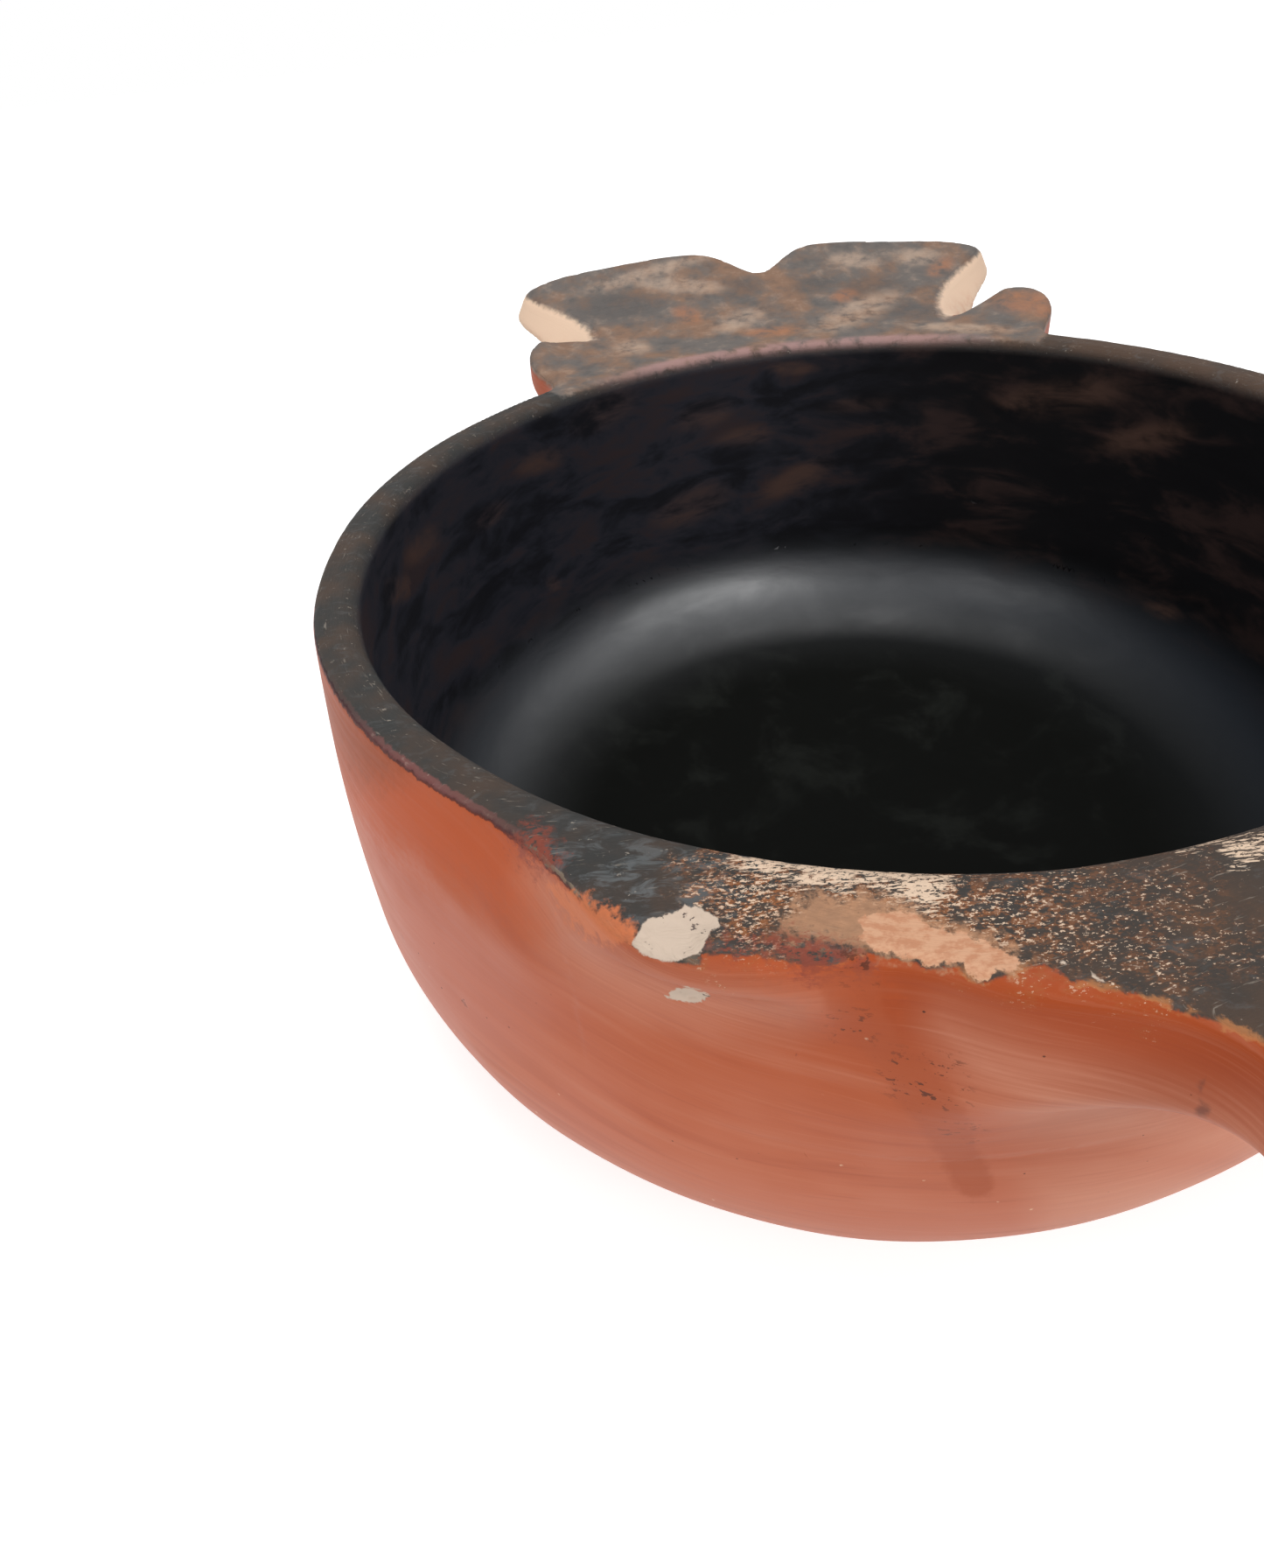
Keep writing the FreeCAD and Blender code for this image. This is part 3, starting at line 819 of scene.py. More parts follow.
def label_span(values, names):
    """Lowest and highest piece number of the clay in each cell, and which cells hold just those two."""
    low = np.where(values < 0, names, len(NAMES)).min(axis=1)
    high = np.where(values < 0, names, -1).max(axis=1)
    either = (names == low[:, None]) | (names == high[:, None]) | (values >= 0)
    return low, high, either.all(axis=1) & (low < high)


def cell_points(origin, field, label):
    """One point for each grid cell that the surface or a hidden seam passes through."""
    cells, shape = crossed_cells(field, label)
    ids = np.full(shape, -1, np.int32)
    ids[tuple(cells.T)] = np.arange(len(cells))
    values = np.stack([field[tuple((cells + corner).T)] for corner in CORNERS], 1).astype(float)
    names = np.stack([label[tuple((cells + corner).T)] for corner in CORNERS], 1).astype(int)
    local, on_surface = cell_middles(values, names)
    low, high, two = label_span(values, names)
    points = origin + (cells + local) * VOXEL
    points[on_surface] = settle(points[on_surface], clay)
    for mine, move in ((on_surface & two, settle_on_seam), (~on_surface & two, settle_inside_seam)):
        for first, second in sorted(set(zip(low[mine], high[mine]))):
            chosen = mine & (low == first) & (high == second)
            points[chosen] = move(points[chosen], first, second)
    points[:, 2] = np.where(on_surface & (points[:, 2] < FOOT_SNAP), 0.0, points[:, 2])
    return ids, points, on_surface


def piece_faces(mine, field, ids):
    """Quads round one piece, turned outwards, and whether each lies on the real surface."""
    faces = []
    shown = []
    for axis in range(3):
        step, one, two = np.roll(np.eye(3, dtype=int), axis, axis=1)
        change = np.diff(mine.astype(np.int8), axis=axis)
        at = np.argwhere(change)
        leaves = (change[tuple(at.T)] < 0)[:, None]
        shown.append(field[tuple(np.where(leaves, at + step, at).T)] >= 0)
        ring = [at - one - two, at - two, at, at - one]
        quad = np.stack([ids[tuple(corner.T)] for corner in ring], 1)
        faces.append(np.where(leaves, quad, quad[:, ::-1]))
    return np.vstack(faces), np.concatenate(shown)


def build_mesh(name, quads, shown, points, normals):
    """A closed mesh with exact normals on its real surface and flat ones on its hidden seams."""
    used, local = np.unique(quads, return_inverse=True)
    local = local.reshape(-1, 4)
    corners = points[used]
    mesh = bpy.data.meshes.new(name)
    mesh.vertices.add(len(used))
    mesh.vertices.foreach_set("co", (corners * MM).ravel())
    mesh.loops.add(local.size)
    mesh.loops.foreach_set("vertex_index", local.ravel())
    mesh.polygons.add(len(local))
    mesh.polygons.foreach_set("loop_start", np.arange(0, local.size, 4))
    mesh.update(calc_edges=True)
    mesh.shade_smooth()
    a, b, c, d = (corners[local[:, turn]] for turn in range(4))
    flat = np.cross(c - a, d - b)
    flat /= np.maximum(np.linalg.norm(flat, axis=1), 1e-9)[:, None]
    loop_normals = np.where(shown[:, None, None], normals[used][local], flat[:, None, :])
    mesh.normals_split_custom_set(loop_normals.reshape(-1, 3))
    return mesh, used


DIPS = [(HEAD_ANGLE, 34.0, 24.0), (HEAD_ANGLE - FRONT_LIMB_SPREAD, 24.0, 15.0),
        (HEAD_ANGLE + FRONT_LIMB_SPREAD, 24.0, 15.0), (TAIL_ANGLE, 20.0, 30.0)]
BLACK_EDGE = 0.9           # how far below the rim's top the black runs down the outside
TAIL_EDGE_LIFT = 1.8       # how much higher the tail's mottled top ends
RIM_TOP_WIDTH = 8.2        # stains and scuffs stop this far in from the outside
FLANK_DEPTH = 13.0         # how far down the tail's bare flanks reach
FLANK_OUT = 7.0            # and how far outside the wall they start
FLANK_DOWN = 0.92          # they end where a side looks down more steeply than this
FLANK_TOP_EDGE = 4.0       # how sharply they start at the top, on the wall's side and underneath
FLANK_OUT_EDGE = 0.7
FLANK_DOWN_EDGE = 6.0
MOTTLE_OVER = 1.2          # the mottled top ends this much beyond the black
REAR_SECTOR = 37.0         # degrees each side of the tail
PINK_SECTOR = 32.0
PINK_SOFTNESS = 12.0
DIP_FADE = 55.0            # depth over which the sweeps under the slabs flatten out
INNER_START = 5.0          # how far in from the outside the inner finish starts
INNER_SWEEP = 9.0          # what the sweeps count from in there
BLACK_IN = 4.0             # further in than this all of the top is black
MOTTLE_WIDTH = 7.5         # and this far in the mottled top ends


def rim_values(points, normals, at):
    """Where the finishes of the outside, rim and slabs lie, most of it in millimetres from a boundary."""
    azimuth = np.arctan2(points[:, 1], points[:, 0])
    from_head = turn_from(azimuth, HEAD_ANGLE)
    from_tail = turn_from(azimuth, TAIL_ANGLE)
    rear = points[:, 0] < 0
    depth_in = -at["wall"]
    drop = np.maximum(at["drop"], 0)
    inner = ramp(depth_in, INNER_START, INNER_START + 3.0) * ramp(drop, 0.6, 3.6)
    top = ramp(drop, 4.0, 0.0) * (1 - inner)
    dip = sum(depth * hill(turn_from(azimuth, middle), 0, half) for middle, depth, half in DIPS)
    sweep = drop - dip * np.exp(-drop / DIP_FADE) + top * (RIM_OUTER - at["r"])
    beside_tail = np.minimum(at["apart"][4], at["apart"][5]) - at["apart"][3]
    on_tail = ramp(beside_tail, -3.0, 3.0) * ramp(at["wall"], 4.0, 10.0) * rear
    black = np.maximum(BLACK_EDGE - TAIL_EDGE_LIFT * on_tail - drop - at["side"], depth_in - BLACK_IN)
    sector = (REAR_SECTOR - from_tail) * math.radians(1) * RIM_OUTER
    pink = np.clip((PINK_SECTOR - from_tail) / PINK_SOFTNESS, 0, 1) * top
    flank = np.minimum.reduce([drop * FLANK_TOP_EDGE - 1.0, (at["wall"] - FLANK_OUT) * FLANK_OUT_EDGE,
                               (normals[:, 2] + FLANK_DOWN) * FLANK_DOWN_EDGE, FLANK_DEPTH - drop,
                               beside_tail])
    return {
        "inner": inner,
        "sweep": np.where(inner > 0.5, INNER_SWEEP + drop, sweep),
        "black": black,
        "mottle": np.minimum(np.minimum(black + MOTTLE_OVER, sector), MOTTLE_WIDTH - depth_in),
        "pink": pink * ramp(depth_in, 3.5, 6.5) * ramp(depth_in, 11.5, 9.5),
        "flank": np.where(rear, flank, OUTSIDE_PATCH),
        "ochre": ramp(from_head, 29.0, 20.0),
        "edge_dark": ramp(from_head, 32.0, 42.0) * (from_tail > 45),
        "edge_pink": hill(from_head, 60.0, 11.0),
        "pale_edge": hill(from_head, 41.0, 8.0),
    }


def photo_values(points, normals, depth_in):
    """How far inside each outlined place the points lie, and their share of each kind of blotch."""
    facing = ((CAMERA_MM - points) * normals).sum(1) > 0
    values = {}
    for name, outlines in PATCHES.items():
        nearest = np.max([Patch(corners).distances(points) for corners in outlines], axis=0)
        nearest = np.minimum(nearest, (RIM_TOP_WIDTH - depth_in) * 8)
        values[name] = np.where(facing, nearest, OUTSIDE_PATCH)
    for name, blotches in BLOTCHES.items():
        values[name] = blotch_weight(points, facing, blotches)
    return values


def paint_values(points, normals):
    """Everything that the materials read from the surface."""
    at = clay(*points.T, parts=True)
    values = {**rim_values(points, normals, at), **photo_values(points, normals, -at["wall"])}
    values["black"] = np.minimum(values["black"], -values.pop("worn_edge"))
    return values


chips.extend([Patch(corners) for corners in PATCHES["chip"]])


def paint_mesh(mesh, used, values):
    """Store the paint values on a mesh's points."""
    for name, value in values.items():
        layer = mesh.attributes.new(name, "FLOAT", "POINT")
        layer.data.foreach_set("value", value[used].astype(np.float32))


def make_pieces():
    origin, field, label = sample_grid()
    ids, points, on_surface = cell_points(origin, field, label)
    normals = np.zeros_like(points)
    slope = gradient(clay, points[on_surface])
    normals[on_surface] = slope / np.maximum(np.linalg.norm(slope, axis=1), 1e-9)[:, None]
    values = {}
    for name, value in paint_values(points[on_surface], normals[on_surface]).items():
        values[name] = np.zeros(len(points))
        values[name][on_surface] = value
    pieces = {}
    for number, name in enumerate(NAMES):
        quads, shown = piece_faces((field < 0) & (label == number), field, ids)
        mesh, used = build_mesh(name, quads, shown, points, normals)
        paint_mesh(mesh, used, values)
        pieces[name] = bpy.data.objects.new(name + "_clay", mesh)
        bpy.context.scene.collection.objects.link(pieces[name])
    return pieces


def tone(red, green, blue):
    """Linear colour from the tone that is seen, 0 to 255."""
    shares = [value / 255 for value in (red, green, blue)]
    return tuple(s / 12.92 if s <= 0.04045 else ((s + 0.055) / 1.055) ** 2.4 for s in shares) + (1.0,)


SLIP_ROSE = tone(196, 116, 88)
SLIP_MID = tone(182, 92, 56)
SLIP_DEEP = tone(163, 74, 38)
# Painted shade just under the rim on the left wall
PAINTED_RIM_SHADE = tone(120, 58, 26)
SLIP_RED = tone(148, 62, 38)
# Pale slip for the burnish streaks, and also the colour of the painted sheen
PALE_SLIP_AND_SHEEN = tone(216, 154, 128)
SLIP_LILAC = tone(200, 128, 110)
SLIP_ORANGE = tone(188, 84, 38)
PALE_SPECK = tone(226, 190, 160)
DARK_SPECK = tone(84, 48, 36)
CHARCOAL = tone(58, 58, 57)
CHARCOAL_BROWN = tone(84, 68, 58)
ASH = tone(112, 116, 118)
FLECK = tone(168, 158, 146)
CREAM = tone(232, 204, 178)
EMBER = tone(158, 98, 58)
GLOSS_BLACK = tone(19, 18, 20)
# Painted bluish reflection on the left of the inner wall
PAINTED_BLUE_REFLECTION = tone(44, 45, 53)
GLOSS_GREEN = tone(13, 14, 12)
GLOSS_STREAK = tone(38, 40, 37)
# Painted highlight tint on the ring where the wall turns into the floor
PAINTED_RING_HIGHLIGHT = tone(36, 40, 46)
SMOKE_BROWN = tone(60, 44, 41)
SMEAR_BROWN = tone(92, 68, 58)
EDGE_DARK = tone(46, 28, 34)
EDGE_PINK = tone(150, 92, 88)
EDGE_PALE = tone(182, 160, 134)
OCHRE = tone(182, 122, 78)
MOTTLE_GREY = tone(110, 104, 100)
MOTTLE_BROWN = tone(138, 110, 92)
MOTTLE_LIGHT = tone(204, 176, 154)
MOTTLE_DARK = tone(80, 78, 78)
MOTTLE_AMBER = tone(178, 120, 86)
PINK_RIM = tone(168, 134, 130)
BARE_CLAY = tone(204, 118, 78)
FLANK_BUFF = tone(232, 202, 176)
FLANK_ORANGE = tone(206, 140, 104)
BUFF = tone(212, 164, 132)
BUFF_DEEP = tone(196, 140, 108)
FILM = tone(188, 142, 110)
CHIP_CLAY = tone(208, 188, 170)
CHIP_PIT = tone(116, 102, 96)
RUST = tone(138, 70, 56)
DRIP = tone(168, 84, 52)
MARK = tone(96, 64, 58)
SLIP_GLOSS = 0.1
TOP_GLOSS = 0.12
BUMP = {"Strength": 0.7, "Distance": 0.0007}


class Output:
    """A node's output, which is added, multiplied and eased like a number."""

    def __init__(self, tree, socket):
        self.tree = tree
        self.socket = socket

    def __add__(self, other):
        return self.tree.math("ADD", self, other)

    def __sub__(self, other):
        return self.tree.math("SUBTRACT", self, other)

    def __mul__(self, other):
        return self.tree.math("MULTIPLY", self, other)

    def most(self, other):
        return self.tree.math("MAXIMUM", self, other)

    def between(self, first, second):
        """The first number where this is 0, the second where it is 1."""
        return self.tree.node("ShaderNodeMix", 0, {0: self, 2: first, 3: second}, data_type="FLOAT")

    def ease(self, low, high, full=1.0):
        """0 below low, full above high and smooth between, or the other way round if low is the larger."""
        inputs = {"Value": self, "From Min": low, "From Max": high, "To Max": full}
        return self.tree.node("ShaderNodeMapRange", "Result", inputs, interpolation_type="SMOOTHSTEP")


class Tree:
    """Short calls that add nodes to a material or to the world."""

    def __init__(self, owner):
        owner.use_nodes = True
        self.nodes = owner.node_tree.nodes
        self.links = owner.node_tree.links

    def feed(self, node, inputs):
        """Link a node's inputs to other nodes' outputs, or set them."""
        for key, value in inputs.items():
            if isinstance(value, Output):
                self.links.new(value.socket, node.inputs[key])
            else:
                node.inputs[key].default_value = value

    def node(self, kind, output=0, inputs={}, **settings):
        """A new node's output, or the list of those that are asked for."""
        made = self.nodes.new(kind)
        for name, setting in settings.items():
            setattr(made, name, setting)
        self.feed(made, inputs)
        if isinstance(output, tuple):
            return [Output(self, made.outputs[name]) for name in output]
        return Output(self, made.outputs[output])

    def math(self, operation, *values):
        return self.node("ShaderNodeMath", 0, dict(enumerate(values)), operation=operation)

    def show(self, kind, seen, light):
        """Let camera, glossy and transmission rays see one shader, plain white, and the rest the other."""
        rays = "Is Camera Ray", "Is Glossy Ray", "Is Transmission Ray"
        camera, glossy, through = self.node("ShaderNodeLightPath", rays)
        share = camera.most(glossy).most(through)
        shown = self.node("ShaderNodeMixShader", 0, {0: share, 1: light, 2: seen})
        self.node(kind, (), {"Surface": shown})


class Layers(Tree):
    """One material's nodes, with lengths in millimetres."""

    def __init__(self, material):
        super().__init__(material)
        self.position = self.node("ShaderNodeTexCoord", "Object")
        x, self.across, z = self.node("ShaderNodeSeparateXYZ", ("X", "Y", "Z"), {0: self.position})
        self.height = z * (1 / MM)
        inputs = {0: x, 1: self.across, 2: self.value("sweep") * MM}
        self.streaks = self.node("ShaderNodeCombineXYZ", 0, inputs)
        self.ragged = self.noise(1.8, 4, 0.62) - 0.5
        self.cloud = self.noise(42.0, 3, 0.55, shift=2)
        self.lumps = self.noise(5.5, 4, 0.6, shift=34, bend=0.2)
        self.crumb = self.noise(1.3, 3, 0.7, (1, 1.7, 1), shift=44)

    def value(self, name):
        return self.node("ShaderNodeAttribute", "Fac", attribute_name=name)

    def placed(self, size, stretch, shift, place=None):
        """Texture coordinates in which this many millimetres are one unit."""
        inputs = {"Vector": place or self.position, "Location": (shift, shift, shift),
                  "Scale": [1 / MM / size / share for share in stretch]}
        return self.node("ShaderNodeMapping", 0, inputs)

    def noise(self, size, detail, rough, stretch=(1, 1, 1), shift=0, bend=0, place=None):
        """Noise, around 0.5, whose features are about this many millimetres across."""
        inputs = {"Vector": self.placed(size, stretch, shift, place), "Scale": 1.0, "Detail": detail,
                  "Roughness": rough, "Distortion": bend}
        return self.node("ShaderNodeTexNoise", 0, inputs)

    def dots(self, size, most, shift=0):
        """Scattered small dots, each within a share of its cell."""
        inputs = {"Vector": self.placed(size, (1, 1, 1), shift), "Scale": 1.0}
        return self.node("ShaderNodeTexVoronoi", "Distance", inputs).ease(most, most * 0.6)

    def patch(self, name, ragged, soft, full=1.0):
        """Share of a painted place, with a ragged edge."""
        return (self.value(name) + self.ragged * (ragged * 4)).ease(-soft, soft, full)

    def over(self, colour, *coats):
        """Coats laid one over another, each a share and a colour."""
        for share, shade in coats:
            inputs = {0: share, 6: colour, 7: shade}
            colour = self.node("ShaderNodeMix", 2, inputs, data_type="RGBA")
        return colour


def slip(paint):
    """Burnished red slip, rosier low down and deeper under the rim, with faint streaks along the sweeps,
    painted shade just under the rim on the left and painted sheen along the creases.
    """
    fine = paint.noise(1.1, 3, 0.6, (22, 22, 1), place=paint.streaks)
    broad = paint.noise(6.0, 3, 0.55, (9, 9, 1), shift=4, place=paint.streaks)
    level = paint.height + (paint.cloud - 0.5) * 60.0
    left = paint.across.ease(-0.05, -0.11, 0.8) * paint.cloud.ease(0.36, 0.6)
    colour = paint.over(
        SLIP_ROSE,
        (level.ease(42.0, 84.0), SLIP_MID),
        (level.ease(78.0, 108.0), SLIP_DEEP),
        (broad.ease(0.5, 0.72, 0.14), PALE_SLIP_AND_SHEEN),
        (broad.ease(0.5, 0.3, 0.22), SLIP_RED),
        (fine.ease(0.56, 0.74, 0.1), PALE_SLIP_AND_SHEEN),
        (fine.ease(0.44, 0.28, 0.18), SLIP_RED),
        (left * paint.height.ease(110.0, 92.0), SLIP_LILAC),
        (paint.patch("orange", 3.0, 6.0, 0.8), SLIP_ORANGE),
        # painted shade just under the rim on the left wall
        (paint.patch("shade", 2.0, 5.0, 0.6), PAINTED_RIM_SHADE),
        # painted sheen in pale slip along the creases and low on the right
        (paint.value("painted_sheen").ease(-7.0, 6.0) * fine.between(0.2, 0.9), PALE_SLIP_AND_SHEEN),
        (paint.dots(7.0, 0.055) * paint.lumps.ease(0.5, 0.6), PALE_SPECK),
        (paint.dots(5.0, 0.05, shift=3) * paint.cloud.ease(0.5, 0.6), DARK_SPECK))
    return colour, fine, broad


def smudge(paint, mid):
    """Matt charcoal on the tops, browner towards the head, with ash swirls and fine scratches."""
    scratch = paint.noise(0.6, 3, 0.65, (8, 8, 1), shift=8, place=paint.streaks)
    swirl = paint.noise(2.2, 4, 0.7, (1, 2.2, 1), shift=15, bend=0.9)
    colour = paint.over(
        CHARCOAL,
        (mid.ease(0.35, 0.7, 0.7) + paint.across.ease(-0.02, 0.05, 0.6), CHARCOAL_BROWN),
        (swirl.ease(0.52, 0.7, 0.2), ASH),
        (paint.value("ash").ease(-8.0, 6.0, 0.55) * swirl.ease(0.45, 0.62), ASH),
        (scratch.ease(0.62, 0.72, 0.4), FLECK),
        (paint.crumb.ease(0.66, 0.7, 0.6), FLECK))
    return colour, scratch


def gloss(paint):
    """Polished smoked black inside: brownish smears on the wall, a painted bluish reflection on its left, and
    a glossier ring where it turns in, tinted lighter as a painted highlight.
    """
    smear = paint.noise(9.0, 4, 0.62, (2.6, 2.6, 1), shift=21, bend=0.4)
    wall = paint.height.ease(34.0, 58.0)
    # ring where the wall turns in: raises the gloss and carries the painted highlight tint
    ring = paint.height.ease(19.0, 35.0) * paint.height.ease(56.0, 38.0)
    # wall colour: painted bluish reflection on the left, plain gloss black on the right
    side = paint.over(PAINTED_BLUE_REFLECTION, (paint.across.ease(-0.03, 0.06), GLOSS_BLACK),
                      (smear.ease(0.56, 0.34, 0.7), GLOSS_BLACK))
    colour = paint.over(
        GLOSS_GREEN,
        (smear.ease(0.5, 0.74, 0.6), GLOSS_STREAK),
        (ring, PAINTED_RING_HIGHLIGHT),
        (wall, side),
        (smear.ease(0.46, 0.7, 0.6) * wall, SMOKE_BROWN),
        (paint.value("smear") * smear.ease(0.32, 0.68, 0.55), SMEAR_BROWN))
    shine = paint.across.ease(0.14, -0.06) * smear.between(1.9, 1.0)
    return colour, smear.between(0.3, 0.55), ring.between(wall.between(0.05, 0.16), shine), smear


def mottled(paint, mid):
    """Worn grey, brown and cream clay on the tail's top."""
    lumps = paint.lumps
    return paint.over(
        MOTTLE_GREY,
        (mid.ease(0.38, 0.64), MOTTLE_BROWN),
        (lumps.ease(0.5, 0.78, 0.3), MOTTLE_LIGHT),
        (lumps.ease(0.5, 0.28, 0.4), MOTTLE_DARK),
        (paint.value("dark") * lumps.ease(0.26, 0.6, 0.6), MOTTLE_DARK),
        (paint.value("light") * lumps.ease(0.26, 0.6, 0.5), MOTTLE_LIGHT),
        (paint.value("amber") * lumps.ease(0.26, 0.6, 0.6), MOTTLE_AMBER))


def worn(paint, colour, rough):
    """Films, scuffs, stains and flaked places over the slip and the smudge."""
    grain = paint.noise(0.4, 3, 0.7, (1, 2.0, 1), shift=41)
    fibre = paint.noise(0.42, 3, 0.62, (1.1, 8, 1.1), shift=47)
    crumb = paint.crumb
    thick = paint.across.ease(0.012, -0.03)
    zone = (paint.value("speckle") + (paint.lumps - 0.5) * 20.0).ease(-5.0, 4.0)
    cream = grain + (thick * 0.07 + zone * 0.06)
    fleck = crumb + (grain - 0.5) * 0.8
    reach = paint.value("scuff") + (fibre - 0.5) * 13.0
    film = paint.patch("film", 2.2, 1.2)
    buff = paint.patch("buff", 0.9, 0.2)
    chip = paint.patch("chip", 0.35, 0.12)
    pit = crumb.ease(0.65, 0.69)
    colour = paint.over(
        colour,
        (zone * thick.between(0.2, 0.8) * fleck.ease(0.44, 0.6), EMBER),
        (cream.ease(0.675, 0.705, 0.85) * zone, CREAM),
        (reach.ease(0.0, 0.8, 0.92) * grain.ease(0.4, 0.46), CREAM),
        (film * crumb.between(0.45, 1.1), FILM),
        (paint.patch("rust", 2.4, 1.6, 0.85) * fleck.ease(0.36, 0.52), RUST),
        (paint.patch("bare", 1.8, 0.8) * crumb.between(0.6, 1.2), BARE_CLAY),
        (paint.patch("drip", 0.5, 0.9, 0.6), DRIP),
        (paint.value("specks").ease(-2.5, 1.5, 0.85) * crumb.ease(0.575, 0.62), DARK_SPECK),
        (paint.patch("mark", 0.3, 0.4, 0.6), MARK),
        (buff, paint.over(BUFF, (crumb.ease(0.4, 0.64), BUFF_DEEP))),
        (chip, paint.over(CHIP_CLAY, (pit, CHIP_PIT))))
    dull = film.most(buff).most(chip)
    return colour, dull.between(rough, 0.86), chip * pit, dull


def edge_lines(paint):
    """Broken lines where the charcoal meets the red: ochre by the head, pale, pink and dark further round."""
    edge = paint.value("black") + paint.ragged * 2.4
    broken = paint.lumps.ease(0.42, 0.56)
    return [(edge.ease(-0.7, -0.35, 0.8) * edge.ease(0.75, 0.4) * paint.value("edge_dark"), EDGE_DARK),
            (edge.ease(-0.2, 0.4, 0.5) * edge.ease(2.0, 1.4) * paint.value("edge_pink"), EDGE_PINK),
            (edge.ease(-0.2, 0.1, 0.4) * edge.ease(1.1, 0.8) * paint.value("pale_edge") * broken, EDGE_PALE),
            (edge.ease(-0.6, -0.2, 0.7) * edge.ease(0.8, 0.4) * paint.value("ochre") * broken, OCHRE)]


def rim_finish(paint, colour, rough, relief):
    """The smudged and mottled tops and the tail's bare flank, over the slip."""
    mid = paint.noise(14.0, 4, 0.6, shift=31)
    tops, scratch = smudge(paint, mid)
    low = paint.height.ease(112.0, 99.0) * paint.lumps.ease(0.4, 0.6)
    black = paint.patch("black", 0.45, 0.25)
    mottle = paint.patch("mottle", 0.6, 1.0)
    colour = paint.over(
        colour,
        (paint.patch("flank", 0.1, 0.8), paint.over(FLANK_BUFF, (low, FLANK_ORANGE))),
        (black, tops),
        *edge_lines(paint),
        (mottle, mottled(paint, mid)),
        (paint.value("pink") * paint.lumps.ease(0.3, 0.56, 0.9), PINK_RIM))
    rough = black.between(rough, scratch.between(0.55, 0.9))
    relief = black.between(relief, scratch * 0.4 + paint.lumps * mottle * 0.4)
    return colour, rough, relief, black.between(SLIP_GLOSS, TOP_GLOSS)


def clay_material(name):
    """One piece's layered finish; what shows where is read from the piece's own paint values."""
    material = bpy.data.materials.new(name)
    paint = Layers(material)
    colour, fine, broad = slip(paint)
    rough = fine.between(0.34, 0.6)
    relief = fine * 0.05 + broad * 0.15
    level = SLIP_GLOSS
    if name != "red_slip_clay":
        colour, rough, relief, level = rim_finish(paint, colour, rough, relief)
    inner = paint.value("inner")
    inside, inside_rough, inside_level, smear = gloss(paint)
    colour, rough, pits, dull = worn(paint, paint.over(colour, (inner, inside)),
                                     inner.between(rough, inside_rough))
    relief = inner.between(relief, smear * 0.25) + dull * 0.15 - pits
    normal = paint.node("ShaderNodeBump", 0, {"Height": relief, **BUMP})
    paint.feed(paint.nodes["Principled BSDF"],
               {"Specular IOR Level": inner.between(level, inside_level), "Base Color": colour,
                "Roughness": rough, "Normal": normal})
    return material


# Light: the world's own level, and the floor's glow near the bowl, which fills up to white further off
WHITE = (1, 1, 1, 1)
WORLD_LIGHT = 0.41
FLOOR_COLOUR = (0.75, 0.75, 0.75, 1)
FLOOR_GLOW = 0.6
GLOW_NEAR = 0.35
GLOW_FAR = 0.9
FLOOR_REACH = 3.0
FLOOR_GAP = 0.0002         # keeps the floor clear of the bowl's flat foot
LIGHT_TARGET = (0, 0, 0.05)
SENSOR_WIDTH = 36.0


def make_camera():
    """Camera at the photograph's viewing angle, in the bowl's own frame."""
    data = bpy.data.cameras.new("camera")
    camera = bpy.data.objects.new("camera", data)
    bpy.context.scene.collection.objects.link(camera)
    data.sensor_width = SENSOR_WIDTH
    data.lens = SENSOR_WIDTH * FOCAL_PIXELS / max(PHOTO_SIZE)
    data.clip_start = 0.01
    data.clip_end = 20.0
    camera.matrix_world = Matrix.Translation(CAMERA_PLACE) @ camera_turn().to_4x4()
    bpy.context.scene.camera = camera


def area_light(name, place, size, power):
    data = bpy.data.lights.new(name, "AREA")
    data.shape = "DISK"
    data.size = size
    data.energy = power
    light = bpy.data.objects.new(name, data)
    light.location = place
    light.rotation_euler = (Vector(LIGHT_TARGET) - Vector(place)).to_track_quat("-Z", "Y").to_euler()
    bpy.context.scene.collection.objects.link(light)


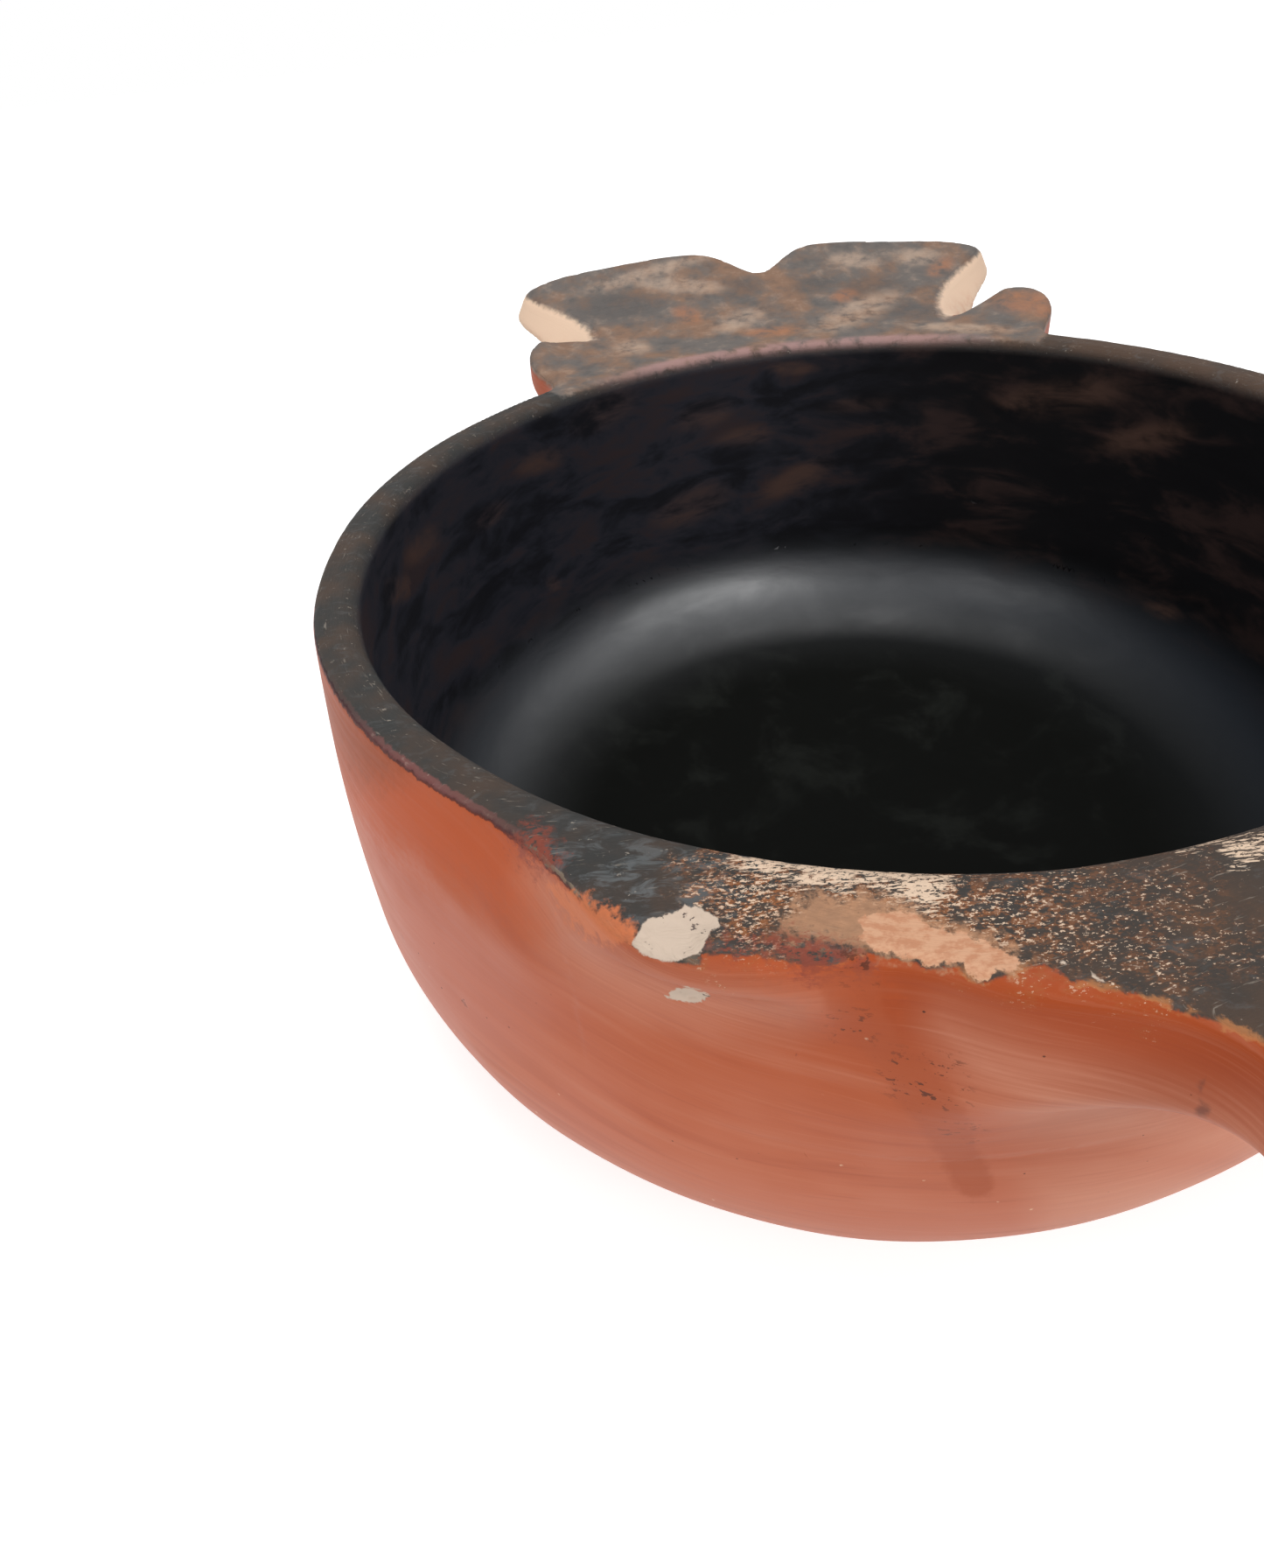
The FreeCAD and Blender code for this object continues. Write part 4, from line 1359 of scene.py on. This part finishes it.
def make_world():
    world = bpy.data.worlds.new("studio")
    bpy.context.scene.world = world
    tree = Tree(world)
    tree.nodes.clear()
    seen = tree.node("ShaderNodeBackground", 0, {"Color": WHITE, "Strength": 1.0})
    light = tree.node("ShaderNodeBackground", 0, {"Color": WHITE, "Strength": WORLD_LIGHT})
    tree.show("ShaderNodeOutputWorld", seen, light)


def make_floor():
    """White floor that keeps the bowl's faint shadow and runs out into the white surroundings."""
    mesh = bpy.data.meshes.new("floor")
    corners = [(x * FLOOR_REACH, y * FLOOR_REACH, 0) for x, y in ((-1, -1), (1, -1), (1, 1), (-1, 1))]
    mesh.from_pydata(corners, [], [range(4)])
    floor = bpy.data.objects.new("floor", mesh)
    floor.location.z = -FLOOR_GAP
    bpy.context.scene.collection.objects.link(floor)
    mesh.materials.append(bpy.data.materials.new("floor_white"))
    tree = Tree(mesh.materials[0])
    tree.nodes.clear()
    lit = tree.node("ShaderNodeBsdfDiffuse", 0, {"Color": FLOOR_COLOUR})
    place = tree.node("ShaderNodeTexCoord", "Object")
    inputs = {"Value": tree.node("ShaderNodeVectorMath", "Value", {0: place}, operation="LENGTH"),
              "From Min": GLOW_NEAR, "From Max": GLOW_FAR, "To Min": FLOOR_GLOW, "To Max": 1.0}
    strength = tree.node("ShaderNodeMapRange", "Result", inputs)
    glow = tree.node("ShaderNodeEmission", 0, {"Strength": strength})
    tree.show("ShaderNodeOutputMaterial", tree.node("ShaderNodeAddShader", 0, {0: lit, 1: glow}), lit)


SLOTS = {name: "red_slip_clay" for name in RING_NAMES}
SLOTS.update({name: "smudged_rim_clay" for name in ("rim_coil", "head", "front_limb_left",
                                                    "front_limb_right")})
SLOTS.update({name: "mottled_clay" for name in ("tail", "rear_limb_left", "rear_limb_right")})

finishes = {slot: clay_material(slot) for slot in sorted(set(SLOTS.values()))}
for node_name, piece in make_pieces().items():
    piece.data.materials.append(finishes[SLOTS[node_name]])
    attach(piece, "root")
    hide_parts(node_name)

make_camera()
make_world()
make_floor()
area_light("overhead_softbox", (-0.15, -0.05, 0.95), 0.7, 3.0)
area_light("side_softbox", (0.55, -0.85, 0.55), 0.7, 3.2)
area_light("front_softbox", (0.72, 0.46, 0.59), 0.6, 3.7)
bpy.context.scene.view_settings.view_transform = "Standard"
